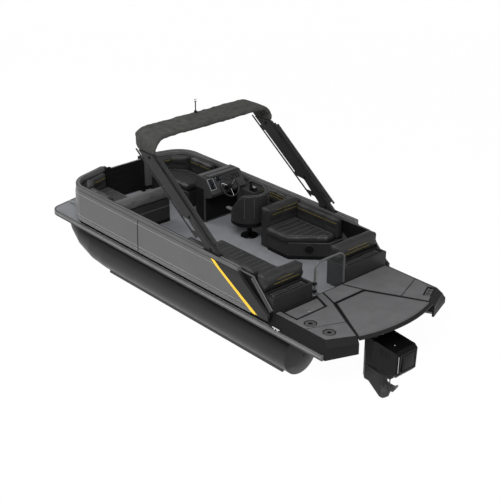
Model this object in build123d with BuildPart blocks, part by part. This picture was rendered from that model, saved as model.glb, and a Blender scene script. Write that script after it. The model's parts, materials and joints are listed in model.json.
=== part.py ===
"""Three-tube pontoon boat with a swept arch, a moulded stern platform and a low outboard beneath it.

Millimetres. X runs to the bow, Y to port, Z up. The origin is amidships on the waterline.
"""
import os
from math import cos, radians, sin, tan

from build123d import *

os.makedirs("parts", exist_ok=True)

# Clearances
SEAM = 3.0                 # open joint between neighbouring panels
SEAT_GAP = 0.3             # soft pieces lie this far from what carries them
RUN_FIT = 0.05             # radial clearance of a pin in its bore
LID_GAP = 8.0              # open joint round a hatch or lid

# Beam and stern, from which the neighbouring pieces take their places
DECK_HALF = 1262.0
PLAT_FRONT_X = -2250.0

# Tubes
TUBE_R = 317.5
TUBE_INSET = 332.0         # side tubes' axes lie this far inside the deck's edge
TUBE_Y = DECK_HALF - TUBE_INSET
TUBE_Z = 135.0             # side tubes' axes
CENTER_DROP = 90.0         # the centre tube rides this much deeper
TUBE_REAR_X = PLAT_FRONT_X - 310.0
NOSE_START_X = 1950.0
NOSE_LENGTH = 1290.0
CAP_DEPTH = 55.0
CAP_DISH_R = (TUBE_R**2 + CAP_DEPTH**2) / (2 * CAP_DEPTH)
RISER_W = 110.0
RISER_END = 120.0          # risers and strakes stop this far from the tube's straight ends
STRAKE_W = 74.0
STRAKE_ANGLE = 48.0        # strakes stand this far below the tube's side
# nose sections: share of the nose length, share of the tube radius
NOSE_SECTIONS = ((0.0, 1.0), (0.3, 0.95), (0.62, 0.77), (0.86, 0.5), (1.0, 0.27))

# Deck and its frame
DECK_TOP = 590.0
DECK_THICK = 30.0
FRAME_LOW = 478.0          # underside of the cross members, on the tubes' risers
FRAME_W = 60.0
FRAME_HALF = DECK_HALF - 72.0
FRAME_FIRST_X = TUBE_REAR_X + 110.0
FRAME_PITCH = 480.0
FRAME_COUNT = 12
BOW_X = 3500.0             # deck's foremost point
BOW_SIDE_X = 3180.0        # straight side ends here
BOW_CORNER_R = 192.0
BOW_CROWN = 24.0           # the bow edge falls back this much halfway out
RAIL_THICK = 33.0
RAIL_LOW = 510.0

# Stern platform
PLAT_TOP = 754.0
CREASE_Z = 684.0           # the moulded bevel starts here
CREASE_HALF = DECK_HALF - 49.0
CREASE_CORNER_X = PLAT_FRONT_X - 1095.0
TOP_HALF = DECK_HALF - 87.0
TOP_CORNER_X = PLAT_FRONT_X - 1020.0
TOP_REAR = (PLAT_FRONT_X - 1230.0, DECK_HALF - 510.0)
SKIRT_CORNER_X = PLAT_FRONT_X - 1122.0
SKIRT_REAR = (PLAT_FRONT_X - 1302.0, DECK_HALF - 474.0)
SKIRT_THICK = 28.0
SKIRT_LOW = 516.0
BAY_FRONT_X = PLAT_FRONT_X - 350.0     # engine bay under the hatch
BAY_FRONT_HALF = 310.0
WALK_FRONT_HALF = 200.0
HATCH_THICK = 36.0
LEDGE_W = 42.0             # the hatch rests on this much of the walkway's ledge
LEDGE_H = 26.0
HATCH_REAR_X = PLAT_FRONT_X - 1418.0
HATCH_SIDE_REAR_X = PLAT_FRONT_X - 1285.0
HATCH_BEVEL = 12.0
LID_FRONT_X = PLAT_FRONT_X - 56.0
LID_REAR_X = PLAT_FRONT_X - 344.0
LID_OUT_Y = TOP_HALF - 123.0
LID_IN_Y = (350.0, 462.0)  # inboard edge at the front and at the rear
LID_THICK = 16.0
LID_EDGE = 9.0             # open joint round the lid
LOCKER_DEPTH = 120.0
LOCKER_LEDGE = 24.0
# accessory sockets: X, Y
SOCKETS = ((PLAT_FRONT_X - 550.0, TOP_HALF - 190.0), (PLAT_FRONT_X - 900.0, TOP_HALF - 210.0))
SOCKET_R = 58.0
SOCKET_BORE_R = 20.0
SOCKET_BORE_DEPTH = 36.0
SOCKET_DEPTH = 60.0
RECESS_R = 96.0            # eight-sided recess round each socket
RECESS_DEPTH = 8.0
SOCKET_SUNK = 2.0          # the sockets end this far under the platform's top
# folded ladder in a slot along the starboard stern corner
SLOT_AT = (PLAT_FRONT_X - 1022.0, -TOP_HALF + 189.0)
SLOT_SIZE = (280.0, 96.0)
SLOT_TURN = 116.4
SLOT_DEPTH = 46.0
LADDER_BAR = 16.0
LADDER_SUNK = 10.0
LADDER_RUNGS = (-95.0, 0.0, 95.0)

# Fence
BASE_H = 60.0              # dark strip under the panels
BASE_INSET = 32.0
BASE_W = 36.0
WALL_OUT = DECK_HALF + 18.0
WALL_THICK = 45.0
WALL_TOP = 1197.0
WALL_LEAN = 25.0           # the panel's top stands this far inboard of its foot
WALL_BEVEL_H = 74.0        # the face leans in over this height under the cap rail
WALL_BEVEL_W = 16.0
WALL_ROLL = 14.0           # rolled foot
GROOVE_Z = 50.0            # pressed groove above the foot
GROOVE_H = 16.0
GROOVE_DEPTH = 7.0
CAP_TOP = 1265.0
CAP_W = 82.0
CAP_LAP = 4.0              # the cap rail stands proud of the panels' top
BOW_BEND_X = 2420.0        # the fence leaves the side here
BOW_BEND_R = 480.0
BOW_BEND_TURN = 74.0
GATE_HALF = 430.0           # half-breadth of the fence's bow opening
PANEL_SEAM_X = 830.0
STRIPE_TOP_X = -975.0
STRIPE_FOOT_X = -1945.0
STRIPE_W = 62.0            # measured along the fence
QUARTER_TOP_X = -1567.0
QUARTER_FOOT_X = PLAT_FRONT_X + 10.0
QUARTER_STEP = 90.0        # the quarter panel's rear edge starts to slope this far above its foot
CUT_REACH = 2000.0         # the slanted cuts through the fence reach this far
CAP_ROUND = 16.0
COAMING_THICK = 22.0
COAMING_TOP_X = PLAT_FRONT_X + 399.0
COAMING_FOOT_Z = 800.0

# Bow gate
GATE_SETBACK = 120.0       # the gate stands this far behind the fence's ends
GATE_THICK = 34.0
GATE_TOP = 1222.0
GATE_FOOT = 640.0
POST_W = 46.0
GATE_GAP = 12.0
GATE_PIN_R = 9.0
GATE_PIN_INSET = 20.0
LUG_H = 24.0

# Benches
BENCH_TOP = 890.0          # top of the moulded bases
SEAT_TOP = 1012.0
BACK_TOP = 1252.0
BACK_THICK = 150.0
TOE_KICK = 70.0
SIDE_IN = WALL_OUT - WALL_LEAN + CAP_LAP - CAP_W   # inner face of the cap rail
BOW_BENCH_IN = 520.0
BOW_BENCH_AFT_X = 1760.0
# bow bench corners: X from the fence's bend, distance inside the cap rail, or inside the backs for the seat
BOW_BASE_CORNERS = ((-60.0, SEAM), (290.0, 220.0))
BOW_BASE_TIP_X = 400.0
BOW_SEAT_CORNERS = ((-40.0, SEAM), (205.0, 190.0))
BOW_SEAT_TIP_X = 290.0
BOW_SEAT_LAP = 20.0
BOW_BACK_END = (-80.0, -40.0)
BOW_HEAD_OUT = ((-60.0, SEAM), (285.0, 222.0))
BOW_HEAD_TIP = ((390.0, 10.0), (310.0, 0.0))   # second column from the bench's inboard edge
BOW_HEAD_IN = ((218.0, 182.0), (-20.0, 0.0))   # second column from the backs' inner face
# corner and crown radii of the pads
BOW_BACK_CORNER = 12.0
LOUNGE_CORNER = 30.0
LOUNGE_CROWN = 50.0
LOUNGE_LAP = 15.0          # the lounge back's pad laps its panel by this much
LOUNGE_DROP = 40.0         # and ends this far below the other backs
BACK_CORNER = 20.0
FRONT_BACK_CORNER = 30.0
FRONT_BACK_CROWN = 40.0
FRONT_BACK_RISE = 40.0
STERN_PAD_SUNK = 15.0
STERN_BACK_ROUND = 30.0
STERN_BACK_KNEE = (40.0, 90.0)     # the stern back's lower edge leans aft by this, at this height
STERN_BACK_TOP = (15.0, 20.0)
LOUNGE_BACK_X = (1560.0, 1720.0)
LOUNGE_END_Y = 60.0
PORT_BENCH_IN = 420.0
STBD_BENCH_X = (-1335.0, -385.0)
STBD_BENCH_IN = -415.0
STBD_BENCH_BEND_X = -865.0
FRONT_BACK_X = (-380.0, -185.0)
STERN_LOUNGE_X = (PLAT_FRONT_X + 6.0, PLAT_FRONT_X + 400.0)
PORT_BENCH_X = (STERN_LOUNGE_X[1] + 50.0, -250.0)
STBD_BENCH_END_Y = -SIDE_IN + BACK_THICK + 137.0
STERN_LOUNGE_TOP = 982.0
STERN_PAD_DEPTH = 55.0
STERN_BACK_X = PLAT_FRONT_X + 215.0
PORT_LOUNGE_IN = 395.0
STBD_LOUNGE_IN = -295.0
LOUNGE_OUT = WALL_OUT - WALL_LEAN - WALL_THICK - COAMING_THICK - 10.0
BOLSTER_THICK = 74.0
BOLSTER_LOW = 1010.0

# Stern gate
HOOP_X = PLAT_FRONT_X + 15.0
HOOP_HINGE_Y = 352.0
HOOP_FREE_Y = -258.0
HOOP_R = 16.0
HOOP_TOP = 1275.0
HOOP_FOOT = 770.0
HOOP_BEND = 130.0
HOOP_LUG = 24.0
HOOP_LUG_H = 34.0
HOOP_LUG_LOWS = (HOOP_FOOT + 40.0, STERN_LOUNGE_TOP - 50.0)
PANE_THICK = 8.0
PANE_CUT = 30.0            # room for the hinge lugs at the pane's port edge

# Helm
CONSOLE_Y = (-SIDE_IN + 92.0, -330.0)
CONSOLE_FRONT_X = 1345.0
CONSOLE_TOP = 1400.0
WHEEL_AT = (813.0, -650.0, 1264.0)
WHEEL_R = 180.0
WHEEL_RIM_R = 15.0
DASH_TILT = 35.0           # the dash face leans back from the vertical
CHAIR_AT = (222.0, -566.0)
CHAIR_POST_R = 42.0
CHAIR_FOOT_R = 150.0
CHAIR_SEAT_Z = 905.0
CHAIR_HALF = 215.0
CHAIR_FRONT = 250.0
CHAIR_REAR = 190.0
CHAIR_BACK_R = (262.0, 335.0)  # the back wraps round the seat between these radii
CHAIR_BACK_H = 520.0
CHAIR_WING_H = 190.0           # the back's wings fall to this height
CHAIR_WING_X = 140.0           # and reach this far forward of the pedestal
CHAIR_FRAME_R = 305.0
CHAIR_FRAME_H = 50.0
CHAIR_SEAT_H = 117.0
CHAIR_CORNER = 100.0
SCREEN_Y = (-462.0, -352.0)    # display beside the wheel
SCREEN_RUN = (26.0, 214.0)     # measured down the dash
SCREEN_DEPTH = 10.0

# Arch
ARCH_RUN = 1.36            # the legs' rear edges move this far forward for each unit of rise
SLEEVE_TOP = 2690.0
SLEEVE_DROP = 298.0        # the sleeve hangs this far down the legs
LEG_TOP_Z = SLEEVE_TOP - SLEEVE_DROP
LEG_FOOT_X = (-1120.0, -800.0)
LEG_TOP_W = 360.0
# kinks of the leg's front edge: X from its rear edge, height above the cap rail
LEG_KINKS = ((272.0, 65.0), (217.0, 355.0), (405.0, 375.0), (328.0, 435.0))
LEG_LAP = 8.0              # the legs overhang the cap rail's inner edge by this much
LEG_THICK = 56.0
SLEEVE_THICK = 84.0
SLEEVE_BEND = 270.0
SLEEVE_SIDE = 14.0         # the sleeve stands this far outside the legs
SLEEVE_BACK = 28.0         # its top reaches this far behind the legs
SLEEVE_AHEAD = 172.0       # and this far ahead of them
SLEEVE_LAP = 20.0          # its ends lap the legs by this much
STRUT_R = 16.0
STRUT_BACKS = (80.0, 150.0)    # the folded struts lie this far aft of the leg, measured level
STRUT_LOW = 135.0              # above the cap rail
FRONT_TUBE_R = 12.0
FRONT_TUBE_AHEAD = 112.0       # the thin tube lies this far ahead of the leg
FRONT_TUBE_LOW = 95.0          # above the cap rail
CLAMP_H = 60.0
POLE_R = 9.0
POLE_H = 215.0
POLE_FOOT_R = 26.0
POLE_LAMP_R = 18.0
POLE_LAMP_H = 40.0

# Drive
TRIM_AT = (TUBE_REAR_X - 230.0, 430.0)
TRIM_PIN_R = 16.0
TRIM_TUBE_R = 36.0
EAR_Y = (112.0, 146.0)
TRANSOM_HALF = 250.0
TRANSOM_LOW = 120.0
TRANSOM_THICK = 50.0
STEER_X = TRIM_AT[0] - 115.0
STEER_PIN_R = 20.0
STEER_TUBE_R = 46.0
STEER_TUBE_Z = (322.0, 502.0)
YOKE_H = 34.0
YOKE_GAP = 2.0
COWL_X = (STEER_X - 357.0, STEER_X - 885.0)
COWL_HALF = 212.0
COWL_BEVEL = 38.0
# cowl's side outline: share of its length from the front, height
COWL_OUTLINE = (
    (0.0, 60.0), (0.0, 392.0), (0.12, 445.0), (0.9, 404.0),
    (1.0, 352.0), (0.97, 24.0), (0.86, -45.0), (0.3, -30.0),
)
LEG_HALF = 66.0
SHAFT_Z = -380.0
GEARCASE_R = 62.0
GEARCASE_X = (STEER_X - 497.0, STEER_X - 45.0)
GEARCASE_NOSE = 150.0
SHAFT_R = 16.0
HUB_R = 52.0
PROP_R = 186.0
PROP_L = 135.0
SHAFT_SHORT = 30.0         # the shaft ends this far inside the hub's rear face
PROP_X = (GEARCASE_X[0] - SEAM - PROP_L, GEARCASE_X[0] - SEAM)
BLADE_COUNT = 3
# blade sections: radius, chord, thickness, pitch angle from the disc
BLADE_SECTIONS = ((44.0, 96.0, 15.0, 52.0), (112.0, 148.0, 10.0, 34.0), (PROP_R - 6.0, 84.0, 5.0, 23.0))
SKEG_TIP = (STEER_X - 415.0, -628.0)
SKEG_HALF = 9.0
SKEG_L = 70.0
PLATE_Z = -172.0           # flat plate over the propeller
PLATE_THICK = 14.0

# Small fittings: X, Y of each cleat on the deck edge
CLEATS = ((3290.0, DECK_HALF - 357.0), (PLAT_FRONT_X - 170.0, DECK_HALF + RAIL_THICK / 2 + 2))
CLEAT_L = 150.0
CLEAT_W = 18.0
CLEAT_FOOT = 30.0          # half the distance between a cleat's feet, and their height
CLEAT_BAR = 16.0


def prism(outline, low, high):
    """A plan outline raised from one height to another."""
    with BuildPart() as piece:
        with BuildSketch(Plane.XY.offset(low)):
            with BuildLine():
                Polyline(*outline, close=True)
            make_face()
        extrude(amount=high - low)
    return piece.part


def side_prism(outline, y_low, y_high):
    """A side outline of X and Z spread from one breadth to another."""
    with BuildPart() as piece:
        with BuildSketch(Plane.XZ.offset(-y_high)):
            with BuildLine():
                Polyline(*outline, close=True)
            make_face()
        extrude(amount=y_high - y_low)
    return piece.part


def rectangle(x_low, x_high, y_low, y_high):
    """The four corners of a plan rectangle."""
    return ((x_low, y_low), (x_high, y_low), (x_high, y_high), (x_low, y_high))


def cushion(outline, low, high, corner=40.0, crown=28.0):
    """A pad with rounded upright corners and a rounded top edge."""
    with BuildPart() as piece:
        add(prism(outline, low, high))
        fillet(piece.edges().filter_by(Axis.Z), corner)
        fillet(piece.faces().sort_by(Axis.Z)[-1].edges(), crown)
    return piece.part


def save(piece, name):
    """Labels a finished piece and writes its file."""
    piece.label = name
    export_step(piece, f"parts/{name}.step")


# Tubes: straight run, raked nose whose top stays level, dished rear cap and a riser under the frame
TUBES = (
    ("pontoon_tube_port", TUBE_Y, TUBE_Z),
    ("pontoon_tube_center", 0.0, TUBE_Z - CENTER_DROP),
    ("pontoon_tube_starboard", -TUBE_Y, TUBE_Z),
)
for name, y, z in TUBES:
    with BuildPart() as tube:
        with BuildSketch(Plane.YZ.offset(TUBE_REAR_X)):
            with Locations((y, z)):
                Circle(TUBE_R)
        extrude(amount=NOSE_START_X - TUBE_REAR_X)
        for along, share in NOSE_SECTIONS:
            with BuildSketch(Plane.YZ.offset(NOSE_START_X + along * NOSE_LENGTH)):
                with Locations((y, z + TUBE_R * (1 - share))):
                    Circle(TUBE_R * share)
        loft(ruled=True)
        with BuildSketch(Plane.XZ.offset(-y)):
            with BuildLine():
                Line((TUBE_REAR_X, z), (TUBE_REAR_X, z + TUBE_R))
                RadiusArc((TUBE_REAR_X, z + TUBE_R), (TUBE_REAR_X - CAP_DEPTH, z), -CAP_DISH_R)
                Line((TUBE_REAR_X - CAP_DEPTH, z), (TUBE_REAR_X, z))
            make_face()
        revolve(axis=Axis((0, y, z), (1, 0, 0)))
        with BuildSketch(Plane.XY.offset(z)):
            with Locations(((TUBE_REAR_X + NOSE_START_X) / 2, y)):
                Rectangle(NOSE_START_X - TUBE_REAR_X - 2 * RISER_END, RISER_W)
        extrude(amount=FRAME_LOW - z)
        for angle in (-STRAKE_ANGLE, STRAKE_ANGLE - 180):
            with BuildSketch(Plane.YZ.offset(TUBE_REAR_X + RISER_END)):
                with Locations((y, z)):
                    with PolarLocations(TUBE_R, 1, start_angle=angle):
                        RegularPolygon(STRAKE_W / 2, 3)
            extrude(amount=NOSE_START_X - TUBE_REAR_X - 2 * RISER_END)
    save(tube.part, name)


# Deck outline, port half: the engine bay's slanted side, the stern corner, the side and the rounded bow
def bay_half(x):
    """Half-breadth of the engine bay, which widens towards the stern."""
    share = (BAY_FRONT_X - x) / (BAY_FRONT_X - TOP_REAR[0])
    return BAY_FRONT_HALF + share * (TOP_REAR[1] - BAY_FRONT_HALF)


DECK_CORNER_X = SKIRT_CORNER_X + SKIRT_THICK
DECK_REAR_X = SKIRT_REAR[0] + SKIRT_THICK


def deck_plan(grow):
    """The deck's plan, grown outwards along its sides and bow."""
    side = DECK_HALF + grow
    corner = (BOW_SIDE_X, side)
    shoulder = (BOW_SIDE_X + BOW_CORNER_R + grow, DECK_HALF - BOW_CORNER_R)
    with BuildSketch() as plan:
        with BuildLine():
            Polyline(
                (BOW_X + grow, 0),
                (BAY_FRONT_X, 0),
                (BAY_FRONT_X, BAY_FRONT_HALF),
                (DECK_REAR_X, bay_half(DECK_REAR_X)),
                (DECK_CORNER_X, side),
                corner,
            )
            TangentArc(corner, shoulder, tangent=(1, 0))
            middle = (BOW_X + grow - BOW_CROWN, shoulder[1] / 2)
            ThreePointArc(shoulder, middle, (BOW_X + grow, 0))
        make_face()
        mirror(about=Plane.XZ)
    return plan.sketch


with BuildPart() as deck:
    with BuildSketch(Plane.XY.offset(DECK_TOP - DECK_THICK)):
        add(deck_plan(0))
    extrude(amount=DECK_THICK)
save(deck.part, "deck")

# Rub rail: two side runs and the bow run, parted by open joints
with BuildPart() as rub_rail:
    with BuildSketch(Plane.XY.offset(RAIL_LOW)):
        add(deck_plan(RAIL_THICK))
        add(deck_plan(0), mode=Mode.SUBTRACT)
        with Locations((BOW_SIDE_X, 0)):
            Rectangle(SEAM, 4 * DECK_HALF, mode=Mode.SUBTRACT)
        with Locations((DECK_CORNER_X - BOW_X / 2, 0)):
            Rectangle(BOW_X, 4 * DECK_HALF, mode=Mode.SUBTRACT)
    extrude(amount=DECK_TOP - RAIL_LOW)
save(rub_rail.part, "rub_rail")

# Cross members under the deck, with two short ones beside the engine bay
with BuildPart() as cross_members:
    for index in range(FRAME_COUNT):
        x = FRAME_FIRST_X + index * FRAME_PITCH
        half = FRAME_HALF if x < BOW_SIDE_X - FRAME_PITCH else DECK_HALF - BOW_CORNER_R
        add(prism(rectangle(x, x + FRAME_W, -half, half), FRAME_LOW, DECK_TOP - DECK_THICK))
    for x in (FRAME_FIRST_X - FRAME_PITCH, FRAME_FIRST_X - 1.6 * FRAME_PITCH):
        inner = bay_half(x) + FRAME_W
        for edge in ((inner, FRAME_HALF), (-FRAME_HALF, -inner)):
            add(prism(rectangle(x, x + FRAME_W, *edge), FRAME_LOW, DECK_TOP - DECK_THICK))
save(cross_members.part, "cross_members")


# Fence: pieces follow one plan line round each bow corner
def fence_line(inset, x_start):
    """The fence's plan line, drawn this far inside the panels' outer face."""
    radius = BOW_BEND_R - inset
    centre_y = WALL_OUT - BOW_BEND_R
    turn = radians(BOW_BEND_TURN)
    bend_end = (BOW_BEND_X + radius * sin(turn), centre_y + radius * cos(turn))
    bend_mid = (BOW_BEND_X + radius * sin(turn / 2), centre_y + radius * cos(turn / 2))
    run = (bend_end[1] - GATE_HALF) / tan(turn)
    with BuildLine() as line:
        if x_start < BOW_BEND_X:
            Line((x_start, WALL_OUT - inset), (BOW_BEND_X, WALL_OUT - inset))
        ThreePointArc((BOW_BEND_X, WALL_OUT - inset), bend_mid, bend_end)
        Line(bend_end, (bend_end[0] + run, GATE_HALF))
    return line.line


WALL_FOOT = DECK_TOP + BASE_H


def wall_section():
    """The side panel's section in Y and Z: rolled foot, gently bowed face, straight back."""
    crease = (WALL_OUT - WALL_LEAN + WALL_BEVEL_W, WALL_TOP - WALL_BEVEL_H)
    groove = WALL_FOOT + GROOVE_Z
    with BuildSketch() as section:
        with BuildLine():
            Polyline(
                crease,
                (WALL_OUT - WALL_LEAN, WALL_TOP),
                (WALL_OUT - WALL_LEAN - WALL_THICK, WALL_TOP),
                (WALL_OUT - WALL_THICK, WALL_FOOT),
                (WALL_OUT - WALL_ROLL, WALL_FOOT),
                (WALL_OUT, WALL_FOOT + WALL_ROLL),
                (WALL_OUT, groove),
                (WALL_OUT - GROOVE_DEPTH, groove + GROOVE_H / 3),
                (WALL_OUT - 1, groove + GROOVE_H),
            )
            ThreePointArc(
                (WALL_OUT - 1, groove + GROOVE_H),
                (WALL_OUT - 3, (groove + crease[1]) / 2),
                crease,
            )
        make_face()
    return section.sketch


def stripe_x(z):
    """Front edge of the yellow stripe at a height."""
    share = (z - WALL_FOOT) / (WALL_TOP - WALL_FOOT)
    return STRIPE_FOOT_X + share * (STRIPE_TOP_X - STRIPE_FOOT_X)


def slanted_band(front_foot, front_top, rear_foot, rear_top, low, high):
    """A tall side outline between two slanted lines, for cutting the fence."""
    return ((rear_foot, low), (front_foot, low), (front_top, high), (rear_top, high))


for side in ("port", "starboard"):
    with BuildPart() as wall:
        with BuildSketch(Plane.YZ.offset(STRIPE_FOOT_X)):
            add(wall_section())
        extrude(amount=BOW_BEND_X - STRIPE_FOOT_X)
        band = slanted_band(
            stripe_x(WALL_FOOT), stripe_x(WALL_TOP), stripe_x(WALL_FOOT) - CUT_REACH,
            stripe_x(WALL_TOP) - CUT_REACH, WALL_FOOT, WALL_TOP,
        )
        add(side_prism(band, 0, 2 * WALL_OUT), mode=Mode.SUBTRACT)
        with Locations((PANEL_SEAM_X, WALL_OUT, (WALL_FOOT + WALL_TOP) / 2)):
            Box(SEAM, 4 * WALL_THICK, WALL_TOP, mode=Mode.SUBTRACT)
        if side == "starboard":
            mirror(about=Plane.XZ, mode=Mode.REPLACE)
    save(wall.part, f"wall_panels_{side}")

with BuildPart() as bow_corners:
    with BuildSketch(Plane.YZ.offset(BOW_BEND_X + SEAM)):
        add(wall_section())
    sweep(path=Wire(fence_line(0, BOW_BEND_X).edges()).translate((SEAM, 0, 0)))
    mirror(about=Plane.XZ)
save(bow_corners.part, "bow_corner_panels")

with BuildPart() as quarters:
    with BuildSketch(Plane.YZ.offset(QUARTER_FOOT_X)):
        add(wall_section())
    extrude(amount=STRIPE_TOP_X - QUARTER_FOOT_X)
    front = slanted_band(
        stripe_x(WALL_FOOT) + CUT_REACH, stripe_x(WALL_TOP) + CUT_REACH,
        stripe_x(WALL_FOOT) - STRIPE_W, stripe_x(WALL_TOP) - STRIPE_W, WALL_FOOT, WALL_TOP,
    )
    rear = slanted_band(
        QUARTER_FOOT_X, QUARTER_TOP_X, QUARTER_FOOT_X - CUT_REACH, QUARTER_TOP_X - CUT_REACH,
        WALL_FOOT + QUARTER_STEP, WALL_TOP,
    )
    add(side_prism(front, 0, 2 * WALL_OUT), mode=Mode.SUBTRACT)
    add(side_prism(rear, 0, 2 * WALL_OUT), mode=Mode.SUBTRACT)
    mirror(about=Plane.XZ)
save(quarters.part, "quarter_panels")

with BuildPart() as stripes:
    with BuildSketch(Plane.YZ.offset(STRIPE_FOOT_X - STRIPE_W)):
        add(wall_section())
    extrude(amount=STRIPE_TOP_X - STRIPE_FOOT_X + STRIPE_W)
    band = slanted_band(
        stripe_x(WALL_FOOT), stripe_x(WALL_TOP),
        stripe_x(WALL_FOOT) - STRIPE_W, stripe_x(WALL_TOP) - STRIPE_W, WALL_FOOT, WALL_TOP,
    )
    add(side_prism(band, 0, 2 * WALL_OUT), mode=Mode.INTERSECT)
    mirror(about=Plane.XZ)
save(stripes.part, "accent_stripes")

# Dark base strip between deck and panels
with BuildPart() as fence_base:
    with BuildSketch(Plane.YZ.offset(PLAT_FRONT_X)):
        with Locations((WALL_OUT - BASE_INSET - BASE_W / 2, DECK_TOP + BASE_H / 2)):
            Rectangle(BASE_W, BASE_H)
    sweep(path=Wire(fence_line(BASE_INSET + BASE_W / 2, PLAT_FRONT_X).edges()))
    mirror(about=Plane.XZ)
save(fence_base.part, "fence_base")

# Inner coaming, whose top stays level further aft than the quarter panel before it drops to the platform
COAMING_OUT = WALL_OUT - WALL_LEAN - WALL_THICK - SEAT_GAP
coaming_outline = (
    (STRIPE_TOP_X, WALL_TOP),
    (COAMING_TOP_X, WALL_TOP),
    (PLAT_FRONT_X, COAMING_FOOT_Z),
    (PLAT_FRONT_X, DECK_TOP),
    (STRIPE_FOOT_X, DECK_TOP),
)
with BuildPart() as coamings:
    add(side_prism(coaming_outline, COAMING_OUT - COAMING_THICK, COAMING_OUT))
    mirror(about=Plane.XZ)
save(coamings.part, "stern_coamings")

# Cap rail along the fence top
with BuildPart() as cap_rail:
    with BuildSketch(Plane.YZ.offset(QUARTER_TOP_X)):
        with Locations((WALL_OUT - WALL_LEAN + CAP_LAP - CAP_W / 2, (WALL_TOP + CAP_TOP) / 2)):
            Rectangle(CAP_W, CAP_TOP - WALL_TOP)
    sweep(path=Wire(fence_line(WALL_LEAN - CAP_LAP + CAP_W / 2, QUARTER_TOP_X).edges()))
    fillet(cap_rail.faces().sort_by(Axis.Z)[-1].edges().filter_by(Axis.X), CAP_ROUND)
    mirror(about=Plane.XZ)
save(cap_rail.part, "cap_rail")

# Bow gate between two posts; it swings inboard on pins in the port post's lugs
turn = radians(BOW_BEND_TURN)
BEND_END_Y = WALL_OUT - BOW_BEND_R + BOW_BEND_R * cos(turn)
FENCE_END_X = BOW_BEND_X + BOW_BEND_R * sin(turn) + (BEND_END_Y - GATE_HALF) / tan(turn)
GATE_X = FENCE_END_X - GATE_SETBACK
POST_OUT = GATE_HALF - (WALL_LEAN + WALL_THICK) * cos(radians(BOW_BEND_TURN)) - SEAM
POST_IN = POST_OUT - POST_W
GATE_SIDE_Y = POST_IN - GATE_GAP
GATE_PIN_Y = GATE_SIDE_Y - GATE_PIN_INSET
with BuildPart() as gate_posts:
    x_low = GATE_X - GATE_THICK / 2
    x_high = GATE_X + 3 * GATE_THICK
    add(prism(rectangle(x_low, x_high, POST_IN, POST_OUT), DECK_TOP, GATE_TOP + LUG_H))
    mirror(about=Plane.XZ)
    lug_plan = rectangle(x_low, x_low + GATE_THICK, GATE_PIN_Y - 2 * GATE_PIN_R, POST_IN)
    for low in (GATE_FOOT - LUG_H, GATE_TOP + 2):
        add(prism(lug_plan, low, low + LUG_H - 2))
    with BuildSketch(Plane.XY.offset(DECK_TOP)):
        with Locations((GATE_X, GATE_PIN_Y)):
            Circle(GATE_PIN_R + RUN_FIT)
    extrude(amount=GATE_TOP, mode=Mode.SUBTRACT)
save(gate_posts.part, "bow_gate_posts")

with BuildPart() as bow_gate:
    with BuildSketch(Plane.YZ.offset(GATE_X - GATE_THICK / 2)):
        with Locations((0, (GATE_FOOT + GATE_TOP) / 2)):
            RectangleRounded(2 * GATE_SIDE_Y, GATE_TOP - GATE_FOOT, GATE_PIN_INSET / 2)
    extrude(amount=GATE_THICK)
    with BuildSketch(Plane.XY.offset(GATE_FOOT - LUG_H)):
        with Locations((GATE_X, GATE_PIN_Y)):
            Circle(GATE_PIN_R)
    extrude(amount=GATE_TOP - GATE_FOOT + 2 * LUG_H)
save(bow_gate.part, "bow_gate")

# Bow benches: moulded bases, seat pads and side backs that follow the fence
bow_plan = (
    (BOW_BENCH_AFT_X, SIDE_IN - SEAM),
    *((BOW_BEND_X + ahead, SIDE_IN - inside) for ahead, inside in BOW_BASE_CORNERS),
    (BOW_BEND_X + BOW_BASE_TIP_X, BOW_BENCH_IN),
    (BOW_BENCH_AFT_X, BOW_BENCH_IN),
)
with BuildPart() as bow_bases:
    add(prism(bow_plan, DECK_TOP, BENCH_TOP))
    mirror(about=Plane.XZ)
save(bow_bases.part, "bow_bench_bases")

BACK_IN = SIDE_IN - BACK_THICK
bow_seat_plan = (
    (BOW_BENCH_AFT_X, BACK_IN - SEAM),
    *((BOW_BEND_X + ahead, BACK_IN - inside) for ahead, inside in BOW_SEAT_CORNERS),
    (BOW_BEND_X + BOW_SEAT_TIP_X, BOW_BENCH_IN - BOW_SEAT_LAP),
    (BOW_BENCH_AFT_X, BOW_BENCH_IN - BOW_SEAT_LAP),
)
with BuildPart() as bow_seats:
    add(cushion(bow_seat_plan, BENCH_TOP + SEAT_GAP, SEAT_TOP))
    mirror(about=Plane.XZ)
save(bow_seats.part, "bow_seat_cushions")

bow_back_plan = (
    (BOW_BENCH_AFT_X, SIDE_IN - SEAM),
    (BOW_BEND_X + BOW_BACK_END[0], SIDE_IN - SEAM),
    (BOW_BEND_X + BOW_BACK_END[1], BACK_IN),
    (BOW_BENCH_AFT_X, BACK_IN),
)
bow_head_plan = (
    *((BOW_BEND_X + ahead, SIDE_IN - inside) for ahead, inside in BOW_HEAD_OUT),
    *((BOW_BEND_X + ahead, BOW_BENCH_IN + outside) for ahead, outside in BOW_HEAD_TIP),
    *((BOW_BEND_X + ahead, BACK_IN - inside) for ahead, inside in BOW_HEAD_IN),
)
with BuildPart() as bow_backs:
    add(cushion(bow_back_plan, BENCH_TOP + SEAT_GAP, BACK_TOP, corner=BOW_BACK_CORNER))
    add(cushion(bow_head_plan, BENCH_TOP + SEAT_GAP, BACK_TOP, corner=BOW_BACK_CORNER))
    mirror(about=Plane.XZ)
save(bow_backs.part, "bow_backrests")

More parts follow.
